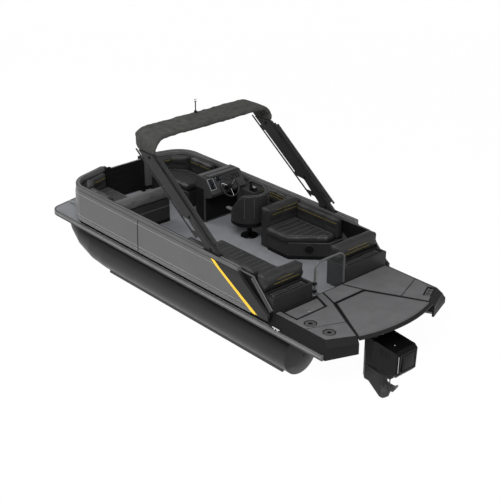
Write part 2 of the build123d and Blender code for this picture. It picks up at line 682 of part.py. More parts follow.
# Transverse lounge back that closes the port bow bench
with BuildPart() as lounge_back:
    add(prism(rectangle(*LOUNGE_BACK_X, LOUNGE_END_Y, SIDE_IN - SEAM), DECK_TOP, SEAT_TOP))
save(lounge_back.part, "lounge_back_panel")
with BuildPart() as lounge_pad:
    pad_plan = rectangle(
        LOUNGE_BACK_X[0] - LOUNGE_LAP, LOUNGE_BACK_X[1] + LOUNGE_LAP, LOUNGE_END_Y - LOUNGE_LAP, SIDE_IN - SEAM)
    add(cushion(pad_plan, SEAT_TOP + SEAT_GAP, BACK_TOP - LOUNGE_DROP, LOUNGE_CORNER, LOUNGE_CROWN))
save(lounge_pad.part, "lounge_back_pad")

# Port bench and starboard L bench: bases, seats, backs
port_base_plan = rectangle(PORT_BENCH_X[0], PORT_BENCH_X[1], PORT_BENCH_IN + TOE_KICK, SIDE_IN - SEAM)
stbd_base_plan = (
    (STBD_BENCH_X[1], -SIDE_IN + SEAM),
    (STBD_BENCH_X[0], -SIDE_IN + SEAM),
    (STBD_BENCH_X[0], STBD_BENCH_END_Y),
    (STBD_BENCH_BEND_X, STBD_BENCH_IN),
    (STBD_BENCH_X[1], STBD_BENCH_IN),
)
with BuildPart() as bench_bases:
    add(prism(port_base_plan, DECK_TOP, BENCH_TOP))
    add(prism(stbd_base_plan, DECK_TOP, BENCH_TOP))
save(bench_bases.part, "bench_bases")

port_seat_plan = rectangle(PORT_BENCH_X[0], PORT_BENCH_X[1], PORT_BENCH_IN, BACK_IN - SEAM)
stbd_seat_plan = (
    (STBD_BENCH_X[1], -BACK_IN + SEAM),
    (STBD_BENCH_X[0], -BACK_IN + SEAM),
    (STBD_BENCH_X[0], STBD_BENCH_END_Y + TOE_KICK / 2),
    (STBD_BENCH_BEND_X, STBD_BENCH_IN + TOE_KICK),
    (STBD_BENCH_X[1], STBD_BENCH_IN + TOE_KICK),
)
with BuildPart() as bench_seats:
    add(cushion(port_seat_plan, BENCH_TOP + SEAT_GAP, SEAT_TOP))
    add(cushion(stbd_seat_plan, BENCH_TOP + SEAT_GAP, SEAT_TOP))
save(bench_seats.part, "bench_seats")

with BuildPart() as bench_backs:
    port_back_plan = rectangle(PORT_BENCH_X[0], PORT_BENCH_X[1], BACK_IN, SIDE_IN - SEAM)
    stbd_back_plan = rectangle(STBD_BENCH_X[0], STBD_BENCH_X[1], -SIDE_IN + SEAM, -BACK_IN)
    add(cushion(port_back_plan, BENCH_TOP + SEAT_GAP, BACK_TOP, corner=BACK_CORNER))
    add(cushion(stbd_back_plan, BENCH_TOP + SEAT_GAP, BACK_TOP, corner=BACK_CORNER))
save(bench_backs.part, "bench_backs")

with BuildPart() as front_back:
    front_plan = rectangle(FRONT_BACK_X[0], FRONT_BACK_X[1], -SIDE_IN + SEAM, STBD_BENCH_IN)
    add(cushion(
        front_plan, DECK_TOP + SEAT_GAP, BACK_TOP + FRONT_BACK_RISE, FRONT_BACK_CORNER, FRONT_BACK_CROWN))
save(front_back.part, "bench_front_back")

# Aft-facing stern lounges: a moulded base with a seat well, a pad in it and a leaning back
STERN_LOUNGES = ((PORT_LOUNGE_IN, LOUNGE_OUT), (-LOUNGE_OUT, STBD_LOUNGE_IN))
WELL_WALL = 36.0
WELL_FLOOR = STERN_LOUNGE_TOP - STERN_PAD_DEPTH
with BuildPart() as stern_bases:
    for y_low, y_high in STERN_LOUNGES:
        add(prism(rectangle(STERN_LOUNGE_X[0], STERN_LOUNGE_X[1], y_low, y_high), DECK_TOP, STERN_LOUNGE_TOP))
        well = rectangle(STERN_LOUNGE_X[0] + WELL_WALL, STERN_BACK_X, y_low + WELL_WALL, y_high - WELL_WALL)
        add(prism(well, WELL_FLOOR, STERN_LOUNGE_TOP), mode=Mode.SUBTRACT)
save(stern_bases.part, "stern_lounge_bases")

with BuildPart() as stern_pads:
    for y_low, y_high in STERN_LOUNGES:
        room = WELL_WALL + SEAM
        pad = rectangle(STERN_LOUNGE_X[0] + room, STERN_BACK_X - SEAM, y_low + room, y_high - room)
        add(cushion(pad, WELL_FLOOR + SEAT_GAP, STERN_LOUNGE_TOP - STERN_PAD_SUNK, BACK_CORNER, STERN_PAD_SUNK))
save(stern_pads.part, "stern_lounge_pads")

stern_back_outline = (
    (STERN_BACK_X, STERN_LOUNGE_TOP + SEAT_GAP),
    (STERN_BACK_X - STERN_BACK_KNEE[0], STERN_LOUNGE_TOP + STERN_BACK_KNEE[1]),
    (STERN_BACK_X - STERN_BACK_TOP[0], BACK_TOP),
    (STERN_LOUNGE_X[1] - STERN_BACK_TOP[1], BACK_TOP),
    (STERN_LOUNGE_X[1], STERN_LOUNGE_TOP + SEAT_GAP),
)
with BuildPart() as stern_backs:
    for y_low, y_high in STERN_LOUNGES:
        add(side_prism(stern_back_outline, y_low, y_high))
    fillet(stern_backs.edges().filter_by(Axis.Y).group_by(Axis.Z)[-1], STERN_BACK_ROUND)
save(stern_backs.part, "stern_lounge_backs")

# Stern hoop gate with a clear pane; it swings inboard about its port post
with BuildPart() as hoop:
    with BuildLine() as hoop_line:
        FilletPolyline(
            (HOOP_X, HOOP_HINGE_Y, HOOP_FOOT),
            (HOOP_X, HOOP_HINGE_Y, HOOP_TOP),
            (HOOP_X, HOOP_FREE_Y, HOOP_TOP),
            (HOOP_X, HOOP_FREE_Y, HOOP_FOOT),
            radius=HOOP_BEND,
        )
    with BuildSketch(Plane((HOOP_X, HOOP_HINGE_Y, HOOP_FOOT), z_dir=(0, 0, 1))):
        Circle(HOOP_R)
    sweep()
save(hoop.part, "stern_gate_hoop")

# Hinge lugs on the port lounge's end; the hoop's post turns in them
with BuildPart() as hoop_hinges:
    for low in HOOP_LUG_LOWS:
        add(prism(
            rectangle(HOOP_X - HOOP_LUG, HOOP_X + HOOP_LUG, HOOP_HINGE_Y - HOOP_LUG, PORT_LOUNGE_IN),
            low, low + HOOP_LUG_H,
        ))
    with BuildSketch(Plane.XY.offset(DECK_TOP)):
        with Locations((HOOP_X, HOOP_HINGE_Y)):
            Circle(HOOP_R + RUN_FIT)
    extrude(amount=HOOP_TOP, mode=Mode.SUBTRACT)
save(hoop_hinges.part, "stern_gate_hinges")

with BuildPart() as pane:
    with BuildSketch(Plane.YZ.offset(HOOP_X - PANE_THICK / 2)):
        width = HOOP_HINGE_Y - HOOP_FREE_Y - 2 * HOOP_R - 2 * SEAT_GAP
        height = HOOP_TOP - HOOP_FOOT - HOOP_R - SEAT_GAP
        with Locations(((HOOP_HINGE_Y + HOOP_FREE_Y) / 2, HOOP_FOOT + height / 2)):
            Rectangle(width, height)
        fillet(vertices().group_by(Axis.Y)[-1], HOOP_BEND - HOOP_R - SEAT_GAP)
        for low in HOOP_LUG_LOWS:
            with Locations((HOOP_HINGE_Y, low + HOOP_LUG_H / 2)):
                Rectangle(2 * HOOP_LUG + PANE_CUT, HOOP_LUG_H + PANE_CUT, mode=Mode.SUBTRACT)
    extrude(amount=PANE_THICK)
save(pane.part, "stern_gate_pane")

# Platform halves: a moulded top with bevelled edges and a skirt that wraps the deck's stern corner
# levels: height, half-breadth, X of the side's rear corner, rear point
POD_LEVELS = (
    (DECK_TOP, DECK_HALF, SKIRT_CORNER_X, SKIRT_REAR),
    (CREASE_Z, CREASE_HALF, CREASE_CORNER_X, SKIRT_REAR),
    (PLAT_TOP, TOP_HALF, TOP_CORNER_X, TOP_REAR),
)
locker_plan = (
    (LID_FRONT_X, LID_OUT_Y),
    (LID_REAR_X, LID_OUT_Y),
    (LID_REAR_X, LID_IN_Y[1]),
    (LID_FRONT_X, LID_IN_Y[0]),
)
well_plan = (
    (LID_FRONT_X - LOCKER_LEDGE, LID_OUT_Y - LOCKER_LEDGE),
    (LID_REAR_X + LOCKER_LEDGE, LID_OUT_Y - LOCKER_LEDGE),
    (LID_REAR_X + LOCKER_LEDGE, LID_IN_Y[1] + LOCKER_LEDGE),
    (LID_FRONT_X - LOCKER_LEDGE, LID_IN_Y[0] + LOCKER_LEDGE),
)


def pod(side):
    """One platform half: widest part, bevel and skirt, with its locker and sockets or its ladder slot."""
    with BuildPart() as piece:
        for pair in zip(POD_LEVELS, POD_LEVELS[1:]):
            for height, half, corner_x, rear in pair:
                with BuildSketch(Plane.XY.offset(height)):
                    with BuildLine():
                        Polyline(
                            (PLAT_FRONT_X, WALK_FRONT_HALF), (PLAT_FRONT_X, half), (corner_x, half),
                            rear, (BAY_FRONT_X, BAY_FRONT_HALF), close=True,
                        )
                    make_face()
            loft(ruled=True)
        with BuildSketch(Plane.XY.offset(SKIRT_LOW)):
            with BuildLine():
                Polyline(
                    (SKIRT_CORNER_X, DECK_HALF), SKIRT_REAR, (DECK_REAR_X, bay_half(DECK_REAR_X)),
                    (DECK_CORNER_X, DECK_HALF), close=True,
                )
            make_face()
        extrude(amount=DECK_TOP - SKIRT_LOW)
        if side == "port":
            add(prism(locker_plan, PLAT_TOP - LID_THICK - SEAT_GAP, PLAT_TOP), mode=Mode.SUBTRACT)
            add(prism(well_plan, PLAT_TOP - LOCKER_DEPTH, PLAT_TOP), mode=Mode.SUBTRACT)
            with BuildSketch(Plane.XY.offset(PLAT_TOP - RECESS_DEPTH)):
                with Locations(*SOCKETS):
                    RegularPolygon(RECESS_R, 8, rotation=22.5)
            extrude(amount=RECESS_DEPTH, mode=Mode.SUBTRACT)
            with BuildSketch(Plane.XY.offset(PLAT_TOP - SOCKET_DEPTH)):
                with Locations(*SOCKETS):
                    Circle(SOCKET_R)
            extrude(amount=SOCKET_DEPTH, mode=Mode.SUBTRACT)
        else:
            mirror(about=Plane.XZ, mode=Mode.REPLACE)
            with BuildSketch(Plane.XY.offset(PLAT_TOP - SLOT_DEPTH)):
                with Locations(SLOT_AT):
                    Rectangle(*SLOT_SIZE, rotation=SLOT_TURN)
            extrude(amount=SLOT_DEPTH, mode=Mode.SUBTRACT)
    return piece.part


for side in ("port", "starboard"):
    save(pod(side), f"platform_{side}")

with BuildPart() as walkway:
    walk_plan = (
        (PLAT_FRONT_X, -WALK_FRONT_HALF + SEAM), (PLAT_FRONT_X, WALK_FRONT_HALF - SEAM),
        (BAY_FRONT_X + SEAM, BAY_FRONT_HALF - SEAM), (BAY_FRONT_X + SEAM, -BAY_FRONT_HALF + SEAM),
    )
    add(prism(walk_plan, DECK_TOP, PLAT_TOP))
    ledge = rectangle(BAY_FRONT_X - LEDGE_W, BAY_FRONT_X + LEDGE_W, -WALK_FRONT_HALF, WALK_FRONT_HALF)
    hatch_low = PLAT_TOP - HATCH_THICK
    add(prism(ledge, hatch_low - LEDGE_H, hatch_low - SEAT_GAP))
save(walkway.part, "platform_walkway")

# Engine hatch: widens aft to a bowed rear edge; its rounded front edge turns about its own middle
HATCH_NOSE_R = HATCH_THICK / 2
HATCH_HINGE_X = BAY_FRONT_X - LID_GAP - HATCH_NOSE_R
with BuildPart() as hatch:
    front_half = bay_half(BAY_FRONT_X) - LID_GAP
    rear_half = bay_half(HATCH_SIDE_REAR_X) - LID_GAP
    with BuildSketch(Plane.XY.offset(PLAT_TOP - HATCH_THICK)):
        with BuildLine():
            Polyline(
                (HATCH_SIDE_REAR_X, -rear_half), (HATCH_HINGE_X, -front_half),
                (HATCH_HINGE_X, front_half), (HATCH_SIDE_REAR_X, rear_half),
            )
            ThreePointArc((HATCH_SIDE_REAR_X, rear_half), (HATCH_REAR_X, 0), (HATCH_SIDE_REAR_X, -rear_half))
        make_face()
    extrude(amount=HATCH_THICK)
    chamfer(hatch.edges().filter_by(GeomType.CIRCLE).group_by(Axis.Z)[-1], HATCH_BEVEL)
    with BuildSketch(Plane.XZ.offset(-front_half)):
        with Locations((HATCH_HINGE_X, PLAT_TOP - HATCH_NOSE_R)):
            Circle(HATCH_NOSE_R)
    extrude(amount=2 * front_half)
save(hatch.part, "engine_hatch")

# Locker lid with a rounded front edge that turns about its own middle
LID_NOSE_R = LID_THICK / 2
LID_HINGE_X = LID_FRONT_X - LID_EDGE - LID_NOSE_R
with BuildPart() as lid:
    with BuildSketch(Plane.XY.offset(PLAT_TOP - LID_THICK)):
        with BuildLine():
            Polyline(*locker_plan, close=True)
        make_face()
        offset(amount=-LID_EDGE)
        with Locations((LID_HINGE_X + LID_THICK, LID_OUT_Y / 2)):
            Rectangle(2 * LID_THICK, 2 * LID_OUT_Y, mode=Mode.SUBTRACT)
    extrude(amount=LID_THICK)
    nose_in = LID_IN_Y[0] + LID_EDGE + LID_THICK
    with BuildSketch(Plane.XZ.offset(-LID_OUT_Y + LID_EDGE)):
        with Locations((LID_HINGE_X, PLAT_TOP - LID_NOSE_R)):
            Circle(LID_NOSE_R)
    extrude(amount=LID_OUT_Y - LID_EDGE - nose_in)
save(lid.part, "locker_lid")

with BuildPart() as sockets:
    socket_top = PLAT_TOP - SOCKET_SUNK
    with BuildSketch(Plane.XY.offset(PLAT_TOP - SOCKET_DEPTH)):
        with Locations(*SOCKETS):
            Circle(SOCKET_R - SEAT_GAP)
    extrude(amount=socket_top - PLAT_TOP + SOCKET_DEPTH)
    with BuildSketch(Plane.XY.offset(socket_top - SOCKET_BORE_DEPTH)):
        with Locations(*SOCKETS):
            Circle(SOCKET_BORE_R)
    extrude(amount=SOCKET_BORE_DEPTH, mode=Mode.SUBTRACT)
save(sockets.part, "accessory_sockets")

# Folded boarding ladder in its slot: two rails joined by rungs
with BuildPart() as ladder:
    with BuildSketch(Plane.XY.offset(PLAT_TOP - SLOT_DEPTH + SEAT_GAP)):
        with Locations(Location((*SLOT_AT, 0), SLOT_TURN)):
            rail_y = SLOT_SIZE[1] / 2 - LADDER_BAR
            with Locations((0, rail_y), (0, -rail_y)):
                Rectangle(SLOT_SIZE[0] - LADDER_BAR, LADDER_BAR)
            with Locations(*((x, 0) for x in LADDER_RUNGS)):
                Rectangle(2 * LADDER_BAR, 2 * rail_y)
    extrude(amount=SLOT_DEPTH - LADDER_SUNK)
save(ladder.part, "boarding_ladder")

# Helm console with a brow over the dash and a sunk display
DASH_TOP_X = 1060.0
DASH_DROP = 240.0
CONSOLE_NOSE = (50.0, 70.0)
CONSOLE_ROUND = 25.0
DASH_LIP = (30.0, 60.0)
KNEE_X = DASH_TOP_X + 40
KNEE_DROP = 130.0
BROW_RISE = 34.0
BROW_AHEAD = 130.0
BROW_REACH = 40.0
BROW_INSET = 60.0
dash_foot_x = DASH_TOP_X - DASH_DROP * tan(radians(DASH_TILT))
dash_foot_z = CONSOLE_TOP - DASH_DROP
console_outline = (
    (CONSOLE_FRONT_X, DECK_TOP),
    (CONSOLE_FRONT_X, CONSOLE_TOP - CONSOLE_NOSE[1]),
    (CONSOLE_FRONT_X - CONSOLE_NOSE[0], CONSOLE_TOP),
    (DASH_TOP_X, CONSOLE_TOP),
    (dash_foot_x, dash_foot_z),
    (dash_foot_x + DASH_LIP[0], dash_foot_z - DASH_LIP[1]),
    (KNEE_X, dash_foot_z - KNEE_DROP),
    (KNEE_X, DECK_TOP),
)
brow_outline = (
    (DASH_TOP_X + BROW_AHEAD, CONSOLE_TOP),
    (DASH_TOP_X - BROW_REACH / 2, CONSOLE_TOP + BROW_RISE),
    (DASH_TOP_X - BROW_REACH, CONSOLE_TOP + BROW_RISE / 2),
    (DASH_TOP_X, CONSOLE_TOP),
)
wheel_axis = (-cos(radians(DASH_TILT)), 0, sin(radians(DASH_TILT)))
with BuildPart() as console:
    add(side_prism(console_outline, *CONSOLE_Y))
    fillet(console.edges().filter_by(Axis.Z), CONSOLE_ROUND)
    add(side_prism(brow_outline, CONSOLE_Y[0] + BROW_INSET, CONSOLE_Y[1] - BROW_INSET))
    with BuildSketch(Plane((DASH_TOP_X, 0, CONSOLE_TOP), x_dir=(0, 1, 0), z_dir=wheel_axis)):
        with Locations(((SCREEN_Y[0] + SCREEN_Y[1]) / 2, (SCREEN_RUN[0] + SCREEN_RUN[1]) / 2)):
            Rectangle(SCREEN_Y[1] - SCREEN_Y[0], SCREEN_RUN[1] - SCREEN_RUN[0])
    extrude(amount=-SCREEN_DEPTH, mode=Mode.SUBTRACT)
save(console.part, "helm_console")

wheel_plane = Plane(WHEEL_AT, x_dir=(0, 1, 0), z_dir=wheel_axis)
WHEEL_HUB_R = 42.0
WHEEL_HUB_H = 40.0
SPOKE_COUNT = 3
SPOKE_W = 26.0
SPOKE_THICK = 12.0
COLUMN_R = 34.0
with BuildPart() as wheel:
    with BuildSketch(Plane(WHEEL_AT, x_dir=wheel_axis, z_dir=(0, 1, 0))):
        with Locations((0, WHEEL_R)):
            Circle(WHEEL_RIM_R)
    revolve(axis=Axis(WHEEL_AT, wheel_axis))
    with BuildSketch(wheel_plane.offset(-WHEEL_HUB_H / 2)):
        Circle(WHEEL_HUB_R)
    extrude(amount=WHEEL_HUB_H)
    with BuildSketch(wheel_plane.offset(-SPOKE_THICK / 2)):
        with PolarLocations(WHEEL_R / 2, SPOKE_COUNT, start_angle=90):
            Rectangle(WHEEL_R, SPOKE_W)
    extrude(amount=SPOKE_THICK)
save(wheel.part, "steering_wheel")

DASH_REACH = (WHEEL_AT[0] - DASH_TOP_X) * wheel_axis[0] + (WHEEL_AT[2] - CONSOLE_TOP) * wheel_axis[2]
with BuildPart() as column:
    with BuildSketch(wheel_plane.offset(-DASH_REACH + SEAT_GAP)):
        Circle(COLUMN_R)
    extrude(amount=DASH_REACH - WHEEL_HUB_H / 2 - 2 * SEAT_GAP)
save(column.part, "steering_column")

# Side shelf on a leg, with the throttle on it
SHELF_FRONT_X = dash_foot_x - SEAM
SHELF_REAR_X = 560.0
SHELF_Y = (-SIDE_IN + SEAM, CONSOLE_Y[0] + 130)
SHELF_Z = (1040.0, 1120.0)
SHELF_LEG = (40.0, 60.0)
with BuildPart() as shelf:
    add(prism(rectangle(SHELF_REAR_X, SHELF_FRONT_X, *SHELF_Y), *SHELF_Z))
    shelf_leg = rectangle(SHELF_REAR_X, SHELF_REAR_X + SHELF_LEG[0], SHELF_Y[0], SHELF_Y[1] - SHELF_LEG[1])
    add(prism(shelf_leg, DECK_TOP, SHELF_Z[0]))
save(shelf.part, "helm_shelf")

THROTTLE_X = 660.0
THROTTLE_Y = (SHELF_Y[0] + SHELF_Y[1]) / 2 + 20
THROTTLE_BASE = (70.0, 45.0, 60.0)     # half-lengths at its foot and top, height
THROTTLE_HALF = 35.0
# lever outline: X from the base's middle, height above the shelf
LEVER = ((-12.0, 40.0), (12.0, 40.0), (46.0, 170.0), (22.0, 176.0))
LEVER_Y = (20.0, 60.0)
with BuildPart() as throttle:
    base_outline = (
        (THROTTLE_X - THROTTLE_BASE[0], SHELF_Z[1]), (THROTTLE_X + THROTTLE_BASE[0], SHELF_Z[1]),
        (THROTTLE_X + THROTTLE_BASE[1], SHELF_Z[1] + THROTTLE_BASE[2]),
        (THROTTLE_X - THROTTLE_BASE[1], SHELF_Z[1] + THROTTLE_BASE[2]),
    )
    add(side_prism(base_outline, THROTTLE_Y - THROTTLE_HALF, THROTTLE_Y + THROTTLE_HALF))
    lever_outline = tuple((THROTTLE_X + x, SHELF_Z[1] + z) for x, z in LEVER)
    add(side_prism(lever_outline, THROTTLE_Y + LEVER_Y[0], THROTTLE_Y + LEVER_Y[1]))
save(throttle.part, "throttle")

# Bolster along the fence beside the helm
with BuildPart() as bolster:
    bolster_plan = rectangle(
        FRONT_BACK_X[1] + SEAM, SHELF_REAR_X - 4 * SEAM, -SIDE_IN + SEAT_GAP, -SIDE_IN + BOLSTER_THICK)
    add(cushion(bolster_plan, BOLSTER_LOW, BACK_TOP, corner=BACK_CORNER))
save(bolster.part, "helm_bolster")

# Helm chair on a swivel pedestal: its back wraps round the seat and falls away into wings
PEDESTAL_FOOT_H = 16.0
PEDESTAL_TAPER = 30.0
with BuildPart() as pedestal:
    with BuildSketch(Plane.XY.offset(DECK_TOP)):
        with Locations(CHAIR_AT):
            Circle(CHAIR_FOOT_R)
    extrude(amount=PEDESTAL_FOOT_H, taper=PEDESTAL_TAPER)
    with BuildSketch(Plane.XY.offset(DECK_TOP)):
        with Locations(CHAIR_AT):
            Circle(CHAIR_POST_R)
    extrude(amount=CHAIR_SEAT_Z - CHAIR_FRAME_H - DECK_TOP)
save(pedestal.part, "chair_pedestal")

chair_x, chair_y = CHAIR_AT
with BuildPart() as chair_frame:
    with BuildSketch(Plane.XY.offset(CHAIR_SEAT_Z - CHAIR_FRAME_H + SEAT_GAP)):
        with Locations(CHAIR_AT):
            Circle(CHAIR_FRAME_R)
        with Locations((chair_x + CHAIR_REAR + CHAIR_FRAME_R, chair_y)):
            Rectangle(2 * CHAIR_FRAME_R, 2 * CHAIR_FRAME_R, mode=Mode.SUBTRACT)
    extrude(amount=CHAIR_FRAME_H - 2 * SEAT_GAP)
save(chair_frame.part, "chair_frame")

with BuildPart() as chair_seat:
    seat_plan = rectangle(
        chair_x - CHAIR_REAR, chair_x + CHAIR_FRONT, chair_y - CHAIR_HALF, chair_y + CHAIR_HALF)
    add(cushion(seat_plan, CHAIR_SEAT_Z, CHAIR_SEAT_Z + CHAIR_SEAT_H, corner=CHAIR_CORNER))
save(chair_seat.part, "chair_seat")

CHAIR_TOP_Z = CHAIR_SEAT_Z + CHAIR_BACK_H
wing_cut = (
    (chair_x + CHAIR_WING_X, CHAIR_SEAT_Z + CHAIR_WING_H),
    (chair_x - CHAIR_WING_X, CHAIR_TOP_Z),
    (chair_x - CHAIR_WING_X, 2 * CHAIR_TOP_Z),
    (chair_x + CHAIR_BACK_R[1], 2 * CHAIR_TOP_Z),
    (chair_x + CHAIR_BACK_R[1], CHAIR_SEAT_Z + CHAIR_WING_H),
)
with BuildPart() as chair_back:
    with BuildSketch(Plane.XY.offset(CHAIR_SEAT_Z)):
        with Locations(CHAIR_AT):
            Circle(CHAIR_BACK_R[1])
            Circle(CHAIR_BACK_R[0], mode=Mode.SUBTRACT)
        with Locations((chair_x + CHAIR_WING_X + CHAIR_BACK_R[1], chair_y)):
            Rectangle(2 * CHAIR_BACK_R[1], 2 * CHAIR_BACK_R[1], mode=Mode.SUBTRACT)
    extrude(amount=CHAIR_BACK_H)
    reach = 2 * CHAIR_BACK_R[1]
    add(side_prism(wing_cut, chair_y - reach, chair_y + reach), mode=Mode.SUBTRACT)
save(chair_back.part, "chair_back")


# Arch: raked legs, folded top struts and thin tubes beside them, canvas sleeve and a light pole
def rear_x(z):
    """X of a leg's rear edge at a height."""
    return LEG_FOOT_X[0] + ARCH_RUN * (z - CAP_TOP)


LEG_Y = (SIDE_IN - LEG_LAP, SIDE_IN - LEG_LAP + LEG_THICK)
LEG_TOP_X = (rear_x(LEG_TOP_Z), rear_x(LEG_TOP_Z) + LEG_TOP_W)
kinks = tuple((rear_x(CAP_TOP + rise) + ahead, CAP_TOP + rise) for ahead, rise in LEG_KINKS)
leg_outline = (
    (LEG_FOOT_X[0], CAP_TOP), (LEG_FOOT_X[1], CAP_TOP), *kinks,
    (LEG_TOP_X[1], LEG_TOP_Z), (LEG_TOP_X[0], LEG_TOP_Z),
)
with BuildPart() as legs:
    add(side_prism(leg_outline, *LEG_Y))
    mirror(about=Plane.XZ)
save(legs.part, "arch_legs")


def between(low, high, z):
    """X at a height on the line through two points of X and Z."""
    return low[0] + (high[0] - low[0]) * (z - low[1]) / (high[1] - low[1])


def tube_run(x_of, low, high, radius):
    """A straight tube in the legs' middle plane between two heights."""
    middle = (LEG_Y[0] + LEG_Y[1]) / 2
    foot = Vector(x_of(low), middle, low)
    run = Vector(x_of(high), middle, high) - foot
    with BuildPart() as piece:
        with BuildSketch(Plane(foot, z_dir=run)):
            Circle(radius)
        extrude(amount=run.length)
    return piece.part


def clamp(x_from, x_to, low):
    """A plate that ties a tube to the leg's edge."""
    high = low + CLAMP_H
    middle = (LEG_Y[0] + LEG_Y[1]) / 2
    outline = ((x_from(low), low), (x_to(low), low), (x_to(high), high), (x_from(high), high))
    return side_prism(outline, middle - STRUT_R / 2, middle + STRUT_R / 2)


def tube_x(z):
    """X of the thin tube ahead of the leg."""
    return between(kinks[3], (LEG_TOP_X[1], LEG_TOP_Z), z) + FRONT_TUBE_AHEAD


STRUT_Z = (CAP_TOP + STRUT_LOW, LEG_TOP_Z - STRUT_R)
TUBE_FOOT_Z = CAP_TOP + FRONT_TUBE_LOW
with BuildPart() as struts:
    for back in STRUT_BACKS:
        add(tube_run(lambda z: rear_x(z) - back, *STRUT_Z, STRUT_R))
    for low in (STRUT_Z[0] + CLAMP_H, STRUT_Z[1] - 3 * CLAMP_H):
        add(clamp(lambda z: rear_x(z) - 2 * SEAT_GAP, lambda z: rear_x(z) - STRUT_BACKS[1], low))
    add(tube_run(tube_x, TUBE_FOOT_Z, STRUT_Z[1], FRONT_TUBE_R))
    add(clamp(lambda z: between(kinks[0], kinks[1], z) + 1.5 * SEAT_GAP, tube_x, TUBE_FOOT_Z + CLAMP_H / 2))
    add(clamp(lambda z: tube_x(z) - FRONT_TUBE_AHEAD + 1.5 * SEAT_GAP, tube_x, STRUT_Z[1] - 3 * CLAMP_H))
    mirror(about=Plane.XZ)
save(struts.part, "top_struts")

SLEEVE_X = (LEG_TOP_X[0] - SLEEVE_BACK, LEG_TOP_X[1] + SLEEVE_AHEAD)
SLEEVE_OUT = LEG_Y[1] + SLEEVE_SIDE
sleeve_low = LEG_TOP_Z + SEAT_GAP
sleeve_side = (
    (SLEEVE_X[0], SLEEVE_TOP), (SLEEVE_X[1], SLEEVE_TOP), (SLEEVE_X[1], SLEEVE_TOP - SLEEVE_THICK),
    (LEG_TOP_X[1] + SLEEVE_LAP, sleeve_low), (LEG_TOP_X[0] - SLEEVE_LAP, sleeve_low),
    (SLEEVE_X[0], SLEEVE_TOP - SLEEVE_THICK),
)
with BuildPart() as sleeve:
    with BuildSketch(Plane.YZ.offset(SLEEVE_X[0] - SLEEVE_TOP)):
        for inset in (0, SLEEVE_THICK):
            with BuildLine():
                FilletPolyline(
                    (SLEEVE_OUT - inset, sleeve_low), (SLEEVE_OUT - inset, SLEEVE_TOP - inset),
                    (-SLEEVE_OUT + inset, SLEEVE_TOP - inset), (-SLEEVE_OUT + inset, sleeve_low),
                    radius=SLEEVE_BEND - inset,
                )
                Line((SLEEVE_OUT - inset, sleeve_low), (-SLEEVE_OUT + inset, sleeve_low))
            make_face(mode=Mode.ADD if inset == 0 else Mode.SUBTRACT)
    extrude(amount=2 * SLEEVE_TOP)
    add(side_prism(sleeve_side, -2 * SLEEVE_OUT, 2 * SLEEVE_OUT), mode=Mode.INTERSECT)
save(sleeve.part, "canvas_sleeve")

POLE_X = SLEEVE_X[1] - 70
POLE_FOOT_H = 24.0
# pole's stacked rounds: radius, low and high edges above the sleeve
POLE_STEPS = ((POLE_FOOT_R, 0, POLE_FOOT_H), (POLE_R, 0, POLE_H), (POLE_LAMP_R, POLE_H - POLE_LAMP_H, POLE_H))
with BuildPart() as pole:
    for radius, low, high in POLE_STEPS:
        with BuildSketch(Plane.XY.offset(SLEEVE_TOP + SEAT_GAP + low)):
            with Locations((POLE_X, 0)):
                Circle(radius)
        extrude(amount=high - low)
save(pole.part, "light_pole")

# Drive: transom bracket with two ears and the trim pin
TRANSOM_X = (TUBE_REAR_X - CAP_DEPTH - 10 - TRANSOM_THICK, TUBE_REAR_X - CAP_DEPTH - 10)
TRANSOM_LAP = 130.0        # its top plate runs this far forward of the engine bay
EAR_FOOT_Z = 250.0
EAR_RIM = 40.0
SWIVEL_GAP = 4.0           # between the swivel tube and each ear
SWIVEL_WEB = (70.0, 30.0)  # the swivel's web below and above the trim axis
with BuildPart() as transom:
    add(prism(rectangle(*TRANSOM_X, -TRANSOM_HALF, TRANSOM_HALF), TRANSOM_LOW, FRAME_LOW))
    top_plate = rectangle(TRANSOM_X[0], BAY_FRONT_X + TRANSOM_LAP, -TRANSOM_HALF, TRANSOM_HALF)
    add(prism(top_plate, FRAME_LOW, DECK_TOP - DECK_THICK))
    ear = (
        (TRANSOM_X[0] + EAR_RIM / 4, EAR_FOOT_Z), (TRANSOM_X[0] + EAR_RIM / 4, FRAME_LOW + EAR_RIM / 2),
        (TRIM_AT[0] + EAR_RIM / 2, TRIM_AT[1] + EAR_RIM),
        (TRIM_AT[0] - EAR_RIM, TRIM_AT[1] + EAR_RIM / 2),
        (TRIM_AT[0] - EAR_RIM, TRIM_AT[1] - EAR_RIM / 2),
    )
    for y_low, y_high in (EAR_Y, (-EAR_Y[1], -EAR_Y[0])):
        add(side_prism(ear, y_low, y_high))
    with BuildSketch(Plane.XZ.offset(-EAR_Y[1])):
        with Locations(TRIM_AT):
            Circle(TRIM_PIN_R)
    extrude(amount=2 * EAR_Y[1])
save(transom.part, "outboard_bracket")

